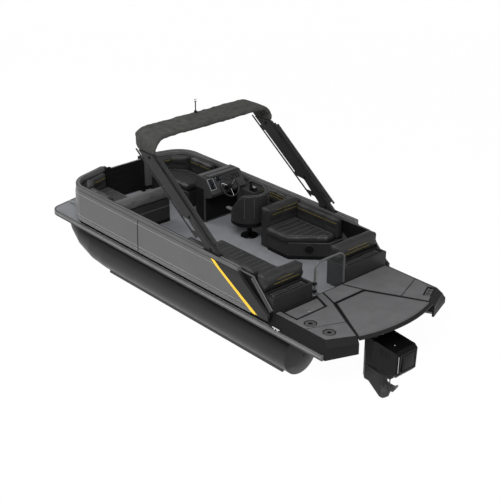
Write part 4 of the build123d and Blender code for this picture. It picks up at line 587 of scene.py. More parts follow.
# level welts: name, node of the pads, height, plan ends, casting direction
WELTS = (
    ("starboard_bench", "bench_backs", 1.165, (-1.30, -0.8), (-0.40, -0.8), TO_STARBOARD),
    ("port_bench", "bench_backs", 1.165, (-1.76, 0.8), (-0.29, 0.8), TO_PORT),
    ("front_back_low", "bench_front_back", 1.165, (-0.6, -1.14), (-0.6, -0.53), TO_BOW),
    ("front_back_high", "bench_front_back", 1.225, (-0.6, -1.08), (-0.6, -0.62), TO_BOW),
    ("bow_starboard", "bow_backrests", 1.165, (1.80, -0.8), (2.37, -0.8), TO_STARBOARD),
    ("bow_port", "bow_backrests", 1.165, (1.80, 0.8), (2.37, 0.8), TO_PORT),
    ("bow_head_starboard", "bow_backrests", 1.165, (2.40, -0.65), (2.60, -0.45), TO_BOW_STARBOARD),
    ("bow_head_port", "bow_backrests", 1.165, (2.40, 0.65), (2.60, 0.45), TO_BOW_PORT),
    ("stern_port_low", "stern_lounge_backs", 1.085, (-2.4, 0.50), (-2.4, 0.99), TO_BOW),
    ("stern_port_high", "stern_lounge_backs", 1.145, (-2.4, 0.62), (-2.4, 0.93), TO_BOW),
    ("stern_starboard_low", "stern_lounge_backs", 1.085, (-2.4, -0.99), (-2.4, -0.40), TO_BOW),
    ("stern_starboard_high", "stern_lounge_backs", 1.145, (-2.4, -0.93), (-2.4, -0.52), TO_BOW),
    ("chair_seat_front", "chair_seat", 0.985, (0.9, -0.70), (0.9, -0.43), TO_STERN),
    ("chair_back_front", "chair_back", 1.30, (0.3, -0.70), (0.3, -0.43), TO_STERN),
    ("helm_bolster_low", "helm_bolster", 1.13, (-0.15, -0.9), (0.51, -0.9), TO_STARBOARD),
    ("helm_bolster_high", "helm_bolster", 1.18, (-0.15, -0.9), (0.51, -0.9), TO_STARBOARD),
)
for name, node, z, start, end, look in WELTS:
    bm = bmesh.new()
    rod(bm, laid_line(surface_of(PAD_OBJECTS[node]), (*start, z), (*end, z), look), WELT_R, FINE_STEPS)
    piece(f"welt_{name}", bm, THREAD, PADS[node][0])

# Piping sewn round the top of each seat, paler than the vinyl: real piping that also stands in as a painted
# highlight along the seats' edges
PIPED_WITH_EDGE_HIGHLIGHT = ("bow_seat_cushions", "bench_seats", "stern_lounge_pads", "chair_seat", "lounge_back_pad")
PIPING_R = 0.0034
PIPING_INSET = 0.04
PIPING_STEP = 0.03
for node in PIPED_WITH_EDGE_HIGHLIGHT:
    bm = bmesh.new()
    for pad in PAD_OBJECTS[node]:
        outline = plan_hull([(v.co.x, v.co.y) for v in pad.data.vertices])
        cast_z = box_of(pad.data.vertices)[1].z + CAST_ABOVE
        run = [(*point, cast_z) for point in evenly(drawn_in(outline, PIPING_INSET), PIPING_STEP)]
        rod(bm, laid(surface_of([pad]), run, DOWN), PIPING_R, FINE_STEPS)
    piece(f"piping_{node}", bm, PIPING, PADS[node][0])

# Channels sewn across the seats
CHANNELLED = ("bow_seat_cushions", "bench_seats")
CHANNEL_R = 0.003
CHANNEL_PITCH = 0.11
CHANNEL_INSET = 0.06
CHANNEL_DROP = 0.05
for node in CHANNELLED:
    bm = bmesh.new()
    for pad in PAD_OBJECTS[node]:
        low, high = box_of(pad.data.vertices)
        tree = surface_of([pad])
        for x in seam_planes(low.x, high.x, CHANNEL_PITCH):
            ends = [(x, y, high.z + CAST_ABOVE) for y in (low.y + CHANNEL_INSET, high.y - CHANNEL_INSET)]
            line = laid_line(tree, *ends, DOWN, steps=40)
            rod(bm, [p for p in line if p.z > high.z - CHANNEL_DROP], CHANNEL_R, steps=6)
    piece(f"channels_{node}", bm, PIPING, PADS[node][0])

# Stowed top: a canvas sleeve whose cloth lies in soft cross folds
CANVAS_VOXEL = 0.02
CANVAS_SOFTNESS = 0.6
CANVAS_SOFT_STEPS = 14
CANVAS_CROWN = 0.2
CANVAS_SINK = 0.007
FOLD_H, CREASE_H, LUMP_H = 0.005, 0.009, 0.008
CREASE_SHARPNESS = 6
# ripples: beats along X, slant and beats along the cloth's run, seed
FOLD = (1.4, 1.0, 8.0, 3.0)
CREASE = (1.6, -2.4, 5.0, 5.0)
LUMP = (2.5, 0.0, 2.2, 9.0)


def ripple(x, run, shape):
    """The height of a smooth wave at a place along the cloth's run."""
    along, slant, beats, seed = shape
    return noise.noise(Vector((along * x + slant * run, beats * run, seed)))


def canvas_sleeve():
    """Remeshed sleeve with folds that cross its width and slacken at the bends."""
    (bm,) = islands("canvas_sleeve")
    top = box_of(bm.verts)[1].z
    obj = linked("canvas_boot", bm)
    remeshed(obj, CANVAS_VOXEL)
    soft = obj.modifiers.new("soft", "SMOOTH")
    soft.factor = CANVAS_SOFTNESS
    soft.iterations = CANVAS_SOFT_STEPS
    even = applied(obj)
    for vert in even.vertices:
        x, y, z = vert.co
        run = y if z > top - CANVAS_CROWN else math.copysign(abs(y) + (top - z), y)
        fold, lump = FOLD_H * ripple(x, run, FOLD), LUMP_H * ripple(x, run, LUMP)
        crease = CREASE_H * (1 - abs(ripple(x, run, CREASE))) ** CREASE_SHARPNESS
        vert.co = vert.co + vert.normal * (fold + crease + lump - CANVAS_SINK)
    obj.data = even
    even.materials.clear()
    even.materials.append(CANVAS)
    even.shade_smooth()
    refined(obj)
    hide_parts("canvas_sleeve")
    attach(obj, BOAT)


canvas_sleeve()

# Platform mats: thin panels parted by dark seams, open round the sockets and the ladder
MAT_H = 0.005
MAT_EDGE = 0.002
SUNK = 0.001
CUT_BELOW, CUT_ABOVE = 0.02, 0.03
SOCKETS = ((-2.800, 0.985), (-3.150, 0.965))
SOCKET_SIDES = 8
SOCKET_TURN = math.pi / SOCKET_SIDES
SOCKET_OPEN_R = 0.102
LADDER_AT = (-3.272, -0.986)
LADDER_OPEN = (0.304, 0.12)
LADDER_TURN = math.radians(116.4)
MAT_FRONT_X = -2.268
MAT_SIDE_Y = 1.145
# the port fore mat's corners in plan; the starboard one has no opening for the lid
FORE_START = (MAT_FRONT_X, MAT_SIDE_Y)
LID_OPENING = ((MAT_FRONT_X, 1.066), (-2.610, 1.066), (-2.610, 0.452), (MAT_FRONT_X, 0.328))
FORE_REST = ((MAT_FRONT_X, 0.222), (-2.595, 0.335), (-3.085, 0.583), (-2.862, MAT_SIDE_Y))
AFT_MAT = ((-2.876, MAT_SIDE_Y), (-3.099, 0.590), (-3.455, 0.759), (-3.258, MAT_SIDE_Y))
WALKWAY_MAT = ((MAT_FRONT_X, 0.187), (-2.585, 0.292), (-2.585, -0.292), (MAT_FRONT_X, -0.187))
LID_MAT = ((-2.335, 1.030), (-2.572, 1.030), (-2.572, 0.490), (-2.335, 0.395))


def to_starboard(outline):
    """A plan outline's reflection."""
    return [(x, -y) for x, y in outline]


def ring_outline(centre, radius, count, turn=0.0):
    """Corners of a regular plan outline."""
    return [(centre[0] + radius * x, centre[1] + radius * y) for x, y in circle(count, turn)]


def box_outline(centre, size, turn):
    """Corners of a turned plan rectangle."""
    along = Vector((math.cos(turn), math.sin(turn))) * size[0] / 2
    across = Vector((-math.sin(turn), math.cos(turn))) * size[1] / 2
    middle = Vector(centre)
    return [tuple(middle + a * along + b * across) for a, b in ((1, 1), (-1, 1), (-1, -1), (1, -1))]


def cut_open(obj, outlines, low, high):
    """Cuts plan outlines through a piece."""
    for outline in outlines:
        bm = bmesh.new()
        raised(bm, outline, low, high, edge=0)
        bmesh.ops.recalc_face_normals(bm, faces=bm.faces)
        cutter = linked("cutter", bm)
        cut = obj.modifiers.new("open", "BOOLEAN")
        cut.operation = "DIFFERENCE"
        cut.solver = "EXACT"
        cut.object = cutter
        obj.data = applied(obj)
        bpy.data.objects.remove(cutter)


# mats: name, body, corners in plan, openings
MATS = (
    ("port_fore_mat", BOAT, (FORE_START, *LID_OPENING, *FORE_REST),
     [ring_outline(SOCKETS[0], SOCKET_OPEN_R, SOCKET_SIDES, SOCKET_TURN)]),
    ("port_aft_mat", BOAT, AFT_MAT, [ring_outline(SOCKETS[1], SOCKET_OPEN_R, SOCKET_SIDES, SOCKET_TURN)]),
    ("starboard_fore_mat", BOAT, to_starboard((FORE_START, *FORE_REST)), []),
    ("starboard_aft_mat", BOAT, to_starboard(AFT_MAT), [box_outline(LADDER_AT, LADDER_OPEN, LADDER_TURN)]),
    ("walkway_mat", BOAT, WALKWAY_MAT, []),
    ("lid_mat", "locker_lid", LID_MAT, []),
)
for name, body, outline, openings in MATS:
    bm = bmesh.new()
    raised(bm, outline, PLAT_TOP - SUNK, PLAT_TOP + MAT_H, MAT_EDGE)
    mat = piece(name, bm, MAT, body)
    cut_open(mat, openings, PLAT_TOP - CUT_BELOW, PLAT_TOP + CUT_ABOVE)

# Hatch: its mat follows the bowed rear edge, inside a plain rim with a raised line
HATCH_FRONT_GAP = 0.035
HATCH_FRONT_HALF = 0.285
HATCH_BOW = 0.133
HATCH_CORNER_SHARE, HATCH_SIDE_SHARE = 0.8, 0.75
# panels: name, inset from the rear edge, height, finish
HATCH_PANELS = (("hatch_rim_line", 0.05, 0.0015, DULL_TRIM), ("hatch_mat", 0.075, MAT_H, MAT))


def bowed(front, front_half, corner_x, half, rear, steps=24):
    """Plan outline with a straight front and a bowed rear edge, port side first."""
    outline = [(front, -front_half), (front, front_half)]
    sag = corner_x - rear
    radius = (half * half + sag * sag) / (2 * sag)
    reach = math.asin(half / radius)
    for i in range(steps + 1):
        angle = reach * (1 - 2 * i / steps)
        outline.append((rear + radius - radius * math.cos(angle), radius * math.sin(angle)))
    return outline


hatch_low, hatch_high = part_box("engine_hatch")
for name, inset, height, used in HATCH_PANELS:
    corner_x = hatch_low.x + HATCH_BOW + inset * HATCH_CORNER_SHARE
    half = hatch_high.y - inset * HATCH_SIDE_SHARE
    outline = bowed(hatch_high.x - HATCH_FRONT_GAP, HATCH_FRONT_HALF, corner_x, half, hatch_low.x + inset)
    bm = bmesh.new()
    raised(bm, outline, PLAT_TOP - SUNK, PLAT_TOP + height, edge=0.001)
    piece(name, bm, used, "engine_hatch")


# Trim: small pieces that ride on their bodies
def bars(name, boxes, material, body=BOAT, edge=0.002):
    """A set of bevelled blocks as one piece."""
    bm = bmesh.new()
    for low, high in boxes:
        block(bm, low, high, edge)
    piece(name, bm, material, body)


def rods(name, runs, radius, material, body=BOAT, steps=10):
    """A set of round rods as one piece."""
    bm = bmesh.new()
    for run in runs:
        rod(bm, run, radius, steps)
    piece(name, bm, material, body)


def rounds(name, places, profile, material, body=BOAT, steps=28):
    """A set of turned pieces, each given by its place and axis."""
    bm = bmesh.new()
    for centre, axis in places:
        turned(bm, profile, Vector(centre), axis, steps)
    piece(name, bm, material, body)


def both_sides(*runs):
    """Runs of points, each followed by its reflection to starboard."""
    return [side for run in runs for side in (list(run), [(x, -y, z) for x, y, z in run])]


def on_side(sign, low, high):
    """A block's corners on the port side, or their reflection to starboard."""
    near, far = sorted((sign * low[1], sign * high[1]))
    return (low[0], near, low[2]), (high[0], far, high[2])


# Fence: lines on the cap rail, a painted shade line under it, painted highlight lines along the panels'
# creases, a pale line at the panels' foot, a seam between them
FENCE_BEND_X = 2.420
FENCE_BEND_R = 0.480
FENCE_TURN = math.radians(74)
FENCE_END_Y = 0.436
CAST_Y = 1.5
CAP_AFT_X = -1.56
CAP_LINE_INSETS = (0.034, 0.090)
CAP_LINE_Z = CAP_TOP - 0.0005
# Height of the painted shade line under the cap rail
CAP_SHADE_LINE_Z = 1.1985
PANEL_FOOT_Z = 0.6605
# wall highlight lines, painted highlights along the panels' creases: height and aft end
WALL_HIGHLIGHT_LINES = ((0.752, -1.72), (1.134, -1.05))
SEAM_X = 0.822
SEAM_Z = (0.665, 1.19)


def fence_path(inset, x_start, z, steps=16):
    """Points along the fence's plan line on the port side, from the stern to the bow gate."""
    radius = FENCE_BEND_R - inset
    centre_y = FENCE_OUT - FENCE_BEND_R
    points = [(x_start, FENCE_OUT - inset, z), (FENCE_BEND_X, FENCE_OUT - inset, z)]
    for i in range(1, steps + 1):
        a = FENCE_TURN * i / steps
        points.append((FENCE_BEND_X + radius * math.sin(a), centre_y + radius * math.cos(a), z))
    x, y, _ = points[-1]
    points.append((x + (y - FENCE_END_Y) / math.tan(FENCE_TURN), FENCE_END_Y, z))
    return points


cap_runs = [fence_path(inset, CAP_AFT_X, CAP_LINE_Z) for inset in CAP_LINE_INSETS]
rods("cap_rail_lines", both_sides(*cap_runs), 0.0055, BLACK_PLASTIC)
port_wall = surface_of([NODES["wall_panels_port"]])
# Painted highlights: pale rods along the panels' upper crease and lower ledge, where light catches them
wall_highlight_runs = []
for z, aft_x in WALL_HIGHLIGHT_LINES:
    inset = FENCE_OUT - struck(port_wall, (0, CAST_Y, z), TO_STARBOARD).y
    wall_highlight_runs.append(fence_path(inset, aft_x, z))
rods("wall_highlight_lines", both_sides(*wall_highlight_runs), 0.004, LIGHT_TRIM, steps=FINE_STEPS)
foot_run = fence_path(0.004, -1.87, PANEL_FOOT_Z)
rods("panel_foot_line", both_sides(foot_run), 0.005, LIGHT_TRIM)
seams = []
for side, sign in SIDES:
    wall = surface_of([NODES[f"wall_panels_{side}"]])
    seams.append(laid_line(wall, *((SEAM_X, sign * CAST_Y, z) for z in SEAM_Z), (0, -sign, 0)))
rods("panel_seams", seams, 0.0055, BLACK_PLASTIC, steps=FINE_STEPS)
# Painted shade: a black rod under the cap rail's lip, where its shadow falls on the panels
cap_shade_run = fence_path(0.023, CAP_AFT_X, CAP_SHADE_LINE_Z)
rods("cap_shade_line", both_sides(cap_shade_run), 0.004, BLACK_PLASTIC)

# Coamings: a trim edge, a flat strip along the slope and a knob on each outer face
COAMING_Y = 1.1985
COAMING_EDGE = ((-1.575, COAMING_Y, 1.200), (-1.851, COAMING_Y, 1.200), (-2.249, COAMING_Y, 0.803))
COAMING_STRIP = (0.014, 0.06)
COAMING_STRIP_PROUD = (-0.001, 0.003)
COAMING_KNOB = (-1.93, 1.2095, 0.90)


def coaming_faces():
    """A flat strip along the sloping edge of each coaming's outer face."""
    face_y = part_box("stern_coamings")[1].y
    top, foot = (Vector((x, z)) for x, _, z in COAMING_EDGE[1:])
    slope = (foot - top).normalized()
    near, far = (Vector((-slope.y, slope.x)) * reach for reach in COAMING_STRIP)
    strip = (top + near, foot + near, foot + far, top + far)
    bm = bmesh.new()
    for _, sign in SIDES:
        depths = [sign * (face_y + proud) for proud in COAMING_STRIP_PROUD]
        lofted(bm, [[bm.verts.new((p.x, y, p.y)) for p in strip] for y in depths])
    piece("coaming_faces", bm, DULL_TRIM)


rods("coaming_trim", both_sides(COAMING_EDGE), 0.0125, DULL_TRIM)
coaming_faces()
knob_x, knob_y, knob_z = COAMING_KNOB
rounds("coaming_knobs", [((knob_x, sign * knob_y, knob_z), (0, sign, 0)) for _, sign in SIDES],
       [(0, 0.016), (0.010, 0.015), (0.014, 0.010), (0.014, 0)], STEEL)

# Stripe: a yellow face over the stripe's own panel, a little wider towards its foot
# edges: X at the foot and at the top
STRIPE_EDGES = ((-1.896, -0.968), (-2.017, -1.051))
STRIPE_FOOT_Z, WALL_KINK_Z, STRIPE_TOP_Z = 0.676, 1.123, 1.192
STRIPE_STEPS = 8
STRIPE_PROUD = 0.002


def stripe_face(bm, side, sign):
    """A thin closed strip laid on one side's panels."""
    wall = surface_of([NODES[node] for node in (f"wall_panels_{side}", "accent_stripes", "quarter_panels")])
    rise = (WALL_KINK_Z - STRIPE_FOOT_Z) / STRIPE_STEPS
    levels = [STRIPE_FOOT_Z + rise * i for i in range(STRIPE_STEPS + 1)] + [STRIPE_TOP_Z]
    rows = []
    for z in levels:
        share = (z - STRIPE_FOOT_Z) / (STRIPE_TOP_Z - STRIPE_FOOT_Z)
        row = []
        for proud in (STRIPE_PROUD, -STRIPE_PROUD):
            for foot_x, top_x in STRIPE_EDGES:
                x = foot_x + share * (top_x - foot_x)
                y = struck(wall, (x, sign * CAST_Y, z), (0, -sign, 0)).y
                row.append(bm.verts.new((x, y + sign * proud, z)))
        rows.append([row[i] for i in (0, 1, 3, 2)])
    lofted(bm, rows)


bm = bmesh.new()
for side, sign in SIDES:
    stripe_face(bm, side, sign)
piece("stripe_faces", bm, STRIPE_PAINT)

# Rub rail: a pale insert, a dark foot and a line on its top, round the sides and the bow
RAIL_AFT = -3.33
RAIL_END_GAP = 0.05
RAIL_OUTLINE = plan_hull([(v.co.x, v.co.y) for v in NODES["rub_rail"].data.vertices])
# lines: name, inset, height, radius, finish
RAIL_LINES = (
    ("rub_rail_insert", 0.002, 0.555, 0.006, LIGHT_TRIM),
    ("rub_rail_foot", 0.005, 0.520, 0.0085, RAIL_DARK),
    ("rub_rail_top_line", 0.022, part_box("rub_rail")[1].z, 0.005, BLACK_PLASTIC),
)


def rail_path(inset, z):
    """Points round the rub rail's outer edge, from the starboard stern by the bow to the port stern."""
    run = [p for p in drawn_in(RAIL_OUTLINE, inset) if p.x > RAIL_AFT + RAIL_END_GAP]
    ends = [(RAIL_AFT, run[0].y), (RAIL_AFT, run[-1].y)]
    return [(x, y, z) for x, y in [ends[0], *run, ends[1]]]


for name, inset, z, radius, used in RAIL_LINES:
    rods(name, [rail_path(inset, z)], radius, used)

# Platform fittings: lid latch, socket plates and socket collars
LATCH_AT = (-2.535, 0.745, PLAT_TOP + MAT_H - SUNK)
SOCKET_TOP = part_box("accessory_sockets")[1].z
SOCKET_PLATE_R = 0.084
SOCKET_PLATE_H = 0.003
SOCKET_BORE_R = 0.0225
COLLAR_SUNK = 0.002
rounds("lid_latch", [(LATCH_AT, UP)], [(0, 0.005), (0.014, 0.005), (0.019, 0.002), (0.019, 0)], STEEL,
       "locker_lid")
for number, centre in enumerate(SOCKETS):
    bm = bmesh.new()
    outline = ring_outline(centre, SOCKET_PLATE_R, SOCKET_SIDES, SOCKET_TURN)
    raised(bm, outline, SOCKET_TOP - SUNK, SOCKET_TOP + SOCKET_PLATE_H, edge=0.001)
    plate = piece(f"socket_plate_{number}", bm, POD_GREY)
    bore = ring_outline(centre, SOCKET_BORE_R, 28)
    cut_open(plate, [bore], SOCKET_TOP - CUT_BELOW, SOCKET_TOP + CUT_BELOW)
rounds("socket_collars", [((x, y, PLAT_TOP - COLLAR_SUNK), UP) for x, y in SOCKETS],
       [(0.0215, 0.0), (0.0215, 0.004), (0.034, 0.004), (0.037, 0.0)], GUNMETAL)

# Bow gate: top rail and pressed ribs
GATE_LOW, GATE_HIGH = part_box("bow_gate")
GATE_X = (GATE_LOW.x + GATE_HIGH.x) / 2
GATE_RAIL_Z = 1.218
RIB_LEVELS = (0.74, 0.86, 0.98, 1.10)
RIB_H = 0.03
RIB_PROUD = 0.004
gate_rail = [(GATE_X, y, GATE_RAIL_Z) for y in (-0.338, 0.300)]
rods("gate_top_rail", [gate_rail], 0.013, LIGHT_TRIM, "bow_gate")
gate_ribs = [
    ((face - RIB_PROUD, -0.30, z), (face + RIB_PROUD, 0.28, z + RIB_H))
    for face in (GATE_LOW.x, GATE_HIGH.x) for z in RIB_LEVELS
]
bars("gate_ribs", gate_ribs, BLACK_PLASTIC, "bow_gate", edge=0.003)

# Stern hoop: a brace on a foot
HOOP_X = -2.235
BRACE_Y = 0.300
hoop_brace = [(HOOP_X, BRACE_Y, 0.775), (HOOP_X, BRACE_Y, 1.16), (HOOP_X, 0.336, 1.20)]
rods("hoop_brace", [hoop_brace], 0.008, LIGHT_TRIM, "stern_gate")
hoop_foot = (-2.262, 0.272, 0.768), (-2.208, 0.336, 0.780)
bars("hoop_brace_foot", [hoop_foot], HOOP_PAINT, "stern_gate")

# Helm: display, gauge panel, switches and console panels
DASH_TILT = math.radians(35)
DASH_OUT = Vector((-math.cos(DASH_TILT), 0, math.sin(DASH_TILT)))
DASH_DOWN = Vector((-math.sin(DASH_TILT), 0, -math.cos(DASH_TILT)))
DASH_ACROSS = Vector(TO_PORT)
DASH_TOP = Vector((1.060, 0, 1.400))
DASH_TURN = Matrix((DASH_DOWN, DASH_ACROSS, DASH_OUT)).transposed().to_4x4()
# frame bars: run down the dash and breadth
DISPLAY_FRAME = (
    ((0.018, 0.028), (-0.470, -0.344)), ((0.212, 0.222), (-0.470, -0.344)),
    ((0.018, 0.222), (-0.472, -0.462)), ((0.018, 0.222), (-0.352, -0.342)),
)
DISPLAY_FRAME_H = (-0.001, 0.006)
SWITCH_RUN, SWITCH_BREADTH, SWITCH_H = (0.05, 0.072), (-1.02, -0.985), (-0.001, 0.007)
SWITCH_ROW, SWITCH_COLUMN = 0.032, 0.05


def on_dash(name, plates, material, edge=0.002):
    """Plates on the dash: run down it, breadth, height off its face."""
    bm = bmesh.new()
    for plate in plates:
        down, across, out = (sum(span) / 2 for span in plate)
        middle = DASH_TOP + DASH_DOWN * down + DASH_OUT * out + DASH_ACROSS * across
        half = Vector([(span[1] - span[0]) / 2 for span in plate])
        block(bm, middle - half, middle + half, edge, DASH_TURN)
    piece(name, bm, material)


on_dash("display_glass", [((0.030, 0.210), (-0.458, -0.356), (-0.010, -0.004))], SCREEN, edge=0.001)
on_dash("display_frame", [(*spans, DISPLAY_FRAME_H) for spans in DISPLAY_FRAME], LIGHT_TRIM)
on_dash("gauge_panel", [((0.022, 0.100), (-0.760, -0.520), (-0.001, 0.008))], SCREEN, edge=0.003)
on_dash("dash_switches", [
    ([x + SWITCH_ROW * row for x in SWITCH_RUN], [y + SWITCH_COLUMN * i for y in SWITCH_BREADTH], SWITCH_H)
    for row in range(3) for i in range(4)
], BLACK_PLASTIC)
CONSOLE_X = struck(surface_of([NODES["helm_console"]]), (0.95, -0.70, 0.80), TO_BOW).x
# console panels: name, corners, finish, edge
CONSOLE_PANELS = (
    ("console_top_pad", (1.200, -1.060, 1.399), (1.290, -0.356, 1.409), VINYL_LIGHT, 0.004),
    ("console_side_panel", (1.120, -0.331, 0.62), (1.325, -0.326, 1.20), BLACK_PLASTIC, 0.002),
    ("console_kick_panel", (CONSOLE_X - 0.004, -1.05, 0.62), (CONSOLE_X + 0.002, -0.36, 1.02),
     BLACK_PLASTIC, 0.001),
)
for name, low, high, used, edge in CONSOLE_PANELS:
    bars(name, [(low, high)], used, edge=edge)

# Wheel: ring, spokes and boss; throttle: grip and plate
WHEEL_AT = Vector((0.813, -0.650, 1.264))
RING_R, RING_RISE, RING_STEPS = 0.176, 0.013, 48
SPOKE_ENDS, SPOKE_RISE = (0.045, 0.165), 0.008
BOSS_RISE = 0.019


def on_wheel(angle, radius, rise):
    """A point by its angle and radius on the wheel and its rise towards the chair."""
    out = math.cos(angle) * DASH_ACROSS + math.sin(angle) * DASH_DOWN
    return WHEEL_AT + DASH_OUT * rise + out * radius


ring = [on_wheel(2 * math.pi * i / RING_STEPS, RING_R, RING_RISE) for i in range(RING_STEPS + 1)]
rods("wheel_ring", [ring], 0.0035, DULL_TRIM, "helm_wheel", FINE_STEPS)
spokes = [[on_wheel(math.radians(a), r, SPOKE_RISE) for r in SPOKE_ENDS] for a in (90, 210, 330)]
rods("wheel_spokes", spokes, 0.006, STEEL, "helm_wheel", FINE_STEPS)
rounds("wheel_boss", [(WHEEL_AT + DASH_OUT * BOSS_RISE, DASH_OUT)],
       [(0, 0.008), (0.022, 0.007), (0.032, 0.003), (0.034, 0)], BLACK_PLASTIC, "helm_wheel")
grip = (0.676, -1.032, 1.262), (0.712, -0.976, 1.300)
bars("throttle_grip", [grip], GUNMETAL, edge=0.008)
throttle_plate = (0.612, -1.072, 1.1815), (0.708, -1.022, 1.188)
bars("throttle_plate", [throttle_plate], LIGHT_TRIM, edge=0.002)

# Helm chair: piping round the back's rim and up its shell, armrests on its wings
CHAIR_AT = Vector((0.222, -0.566))
RIM_R, RIM_Z, RIM_STEPS = 0.312, 1.408, 24
RIM_START, RIM_SPAN = 115, 130
SHELL_PIPES = (124, 152, 208, 236)
SHELL_FOOT_Z, SHELL_RISE, SHELL_CAST_R = 1.02, 0.36, 0.5
ARM_Y = (0.235, 0.300)
rim = []
for i in range(RIM_STEPS + 1):
    a = math.radians(RIM_START + RIM_SPAN * i / RIM_STEPS)
    rim.append((CHAIR_AT.x + RIM_R * math.cos(a), CHAIR_AT.y + RIM_R * math.sin(a), RIM_Z))
rods("chair_piping", [rim], 0.004, DULL_TRIM, "helm_chair", FINE_STEPS)
chair_tree = surface_of(PAD_OBJECTS["chair_back"])
shell_runs = []
for degrees in SHELL_PIPES:
    out = Vector((math.cos(math.radians(degrees)), math.sin(math.radians(degrees)), 0))
    start = Vector((*CHAIR_AT, SHELL_FOOT_Z)) + out * SHELL_CAST_R
    shell_runs.append(laid_line(chair_tree, start, start + Vector((0, 0, SHELL_RISE)), -out))
rods("chair_shell_piping", shell_runs, PIPING_R, PIPING, "helm_chair", FINE_STEPS)
arms = []
for _, sign in SIDES:
    near, far = sorted(CHAIR_AT.y + sign * y for y in ARM_Y)
    arms.append(((0.300, near, 1.075), (0.470, far, 1.112)))
bars("chair_arms", arms, DULL_TRIM, "helm_chair", edge=0.014)

# Benches: toe-kick bands, lip lines, speakers and a knob on the lounge
# bench faces by their ends in plan
BENCH_FACES = (
    ((-1.80, 0.490), (-0.25, 0.490)), ((-0.385, -0.415), (-0.865, -0.415)),
    ((-0.865, -0.415), (-1.335, -0.890)), ((-1.335, -0.890), (-1.335, -1.17)),
    ((1.76, 0.520), (2.82, 0.520)), ((1.76, -0.520), (2.82, -0.520)), ((1.56, 0.06), (1.56, 1.17)),
    ((-1.85, 0.40), (-1.85, 1.17)), ((-1.85, -0.30), (-1.85, -1.17)),
)
# bands: name, lower and upper edge, how far they stand out, finish
BANDS = (
    ("toe_kicks", 0.592, 0.652, 0.003, BLACK_PLASTIC),
    ("bench_lip_lines", 0.872, 0.886, 0.004, DULL_TRIM),
)
# speakers: place and axis
SPEAKERS = (
    ((-1.10, -0.6525, 0.765), (-0.711, 0.703, 0)), ((2.15, 0.520, 0.765), TO_STARBOARD),
    ((2.15, -0.520, 0.765), TO_PORT), ((-0.80, 0.490, 0.765), TO_STARBOARD),
)
SPEAKER_STEPS = 36


def face_band(bm, start, end, low, high, out):
    """A thin band on an upright face between two plan points."""
    start, end = Vector((*start, 0)), Vector((*end, 0))
    along = (end - start).normalized()
    turn = Matrix.Rotation(math.atan2(along.y, along.x), 4, "Z")
    middle = (start + end) / 2 + Vector((0, 0, (low + high) / 2))
    half = Vector(((end - start).length / 2, out, (high - low) / 2))
    block(bm, middle - half, middle + half, 0.0015, turn)


for name, low, high, out, used in BANDS:
    bm = bmesh.new()
    for start, end in BENCH_FACES:
        face_band(bm, start, end, low, high, out)
    piece(name, bm, used)
rounds("speaker_rims", SPEAKERS, [(0.070, 0.0), (0.070, 0.008), (0.082, 0.008), (0.088, 0.0)],
       BENCH_PLASTIC, steps=SPEAKER_STEPS)
rounds("speaker_grilles", SPEAKERS,
       [(0, 0.009), (0.03, 0.0085), (0.055, 0.007), (0.070, 0.004), (0.070, 0)],
       BLACK_PLASTIC, steps=SPEAKER_STEPS)
rounds("lounge_knob", [((1.546, 1.10, 1.12), TO_STERN)],
       [(0, 0.02), (0.012, 0.018), (0.015, 0.01), (0.01, 0)], STEEL)

# Arch: pivot caps, pressed lines along each leg, foot plates, and the light pole's lens
ARCH_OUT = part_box("arch_legs")[1].y
LEG_THICK = 0.056
PIVOTS = ((-0.44, 1.66), (-0.93, 1.30), (0.50, 2.34))
# leg lines: lower and upper end in X and Z
LEG_LINES = (((-0.56, 1.70), (0.40, 2.386)), ((-0.94, 1.36), (-0.58, 1.625)))
POLE_LOW, POLE_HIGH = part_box("light_pole")
LENS_DROP = 0.024
pivots = []
for _, sign in SIDES:
    for x, z in PIVOTS:
        pivots.append(((x, sign * (ARCH_OUT - SUNK), z), (0, sign, 0)))
        pivots.append(((x, sign * (ARCH_OUT - LEG_THICK + SUNK), z), (0, -sign, 0)))
rounds("arch_pivots", pivots, [(0, 0.012), (0.014, 0.012), (0.026, 0.008), (0.028, 0)], BLACK_PLASTIC)
leg_runs = [[(x, y, z) for x, z in line] for y in (ARCH_OUT, ARCH_OUT - LEG_THICK) for line in LEG_LINES]
rods("leg_lines", both_sides(*leg_runs), 0.004, BLACK_PLASTIC, steps=FINE_STEPS)
foot_low = (-1.145, ARCH_OUT - 0.062, CAP_TOP)
foot_high = (-0.775, ARCH_OUT + 0.012, CAP_TOP + 0.014)
feet = [on_side(sign, foot_low, foot_high) for _, sign in SIDES]
bars("arch_feet", feet, BLACK_PLASTIC, edge=0.004)
rounds("pole_lens", [(((POLE_LOW.x + POLE_HIGH.x) / 2, 0, POLE_HIGH.z - LENS_DROP), UP)],
       [(0.0185, 0), (0.0195, 0.004), (0.0195, 0.018), (0.0185, 0.022)], LENS)

# Outboard: rear panel in a frame, a bright strip as painted highlight on the port rear corner, side vents,
# top cap and propeller nut
COWL_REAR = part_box("outboard_cowl")[0].x
PANEL_IN = 0.012
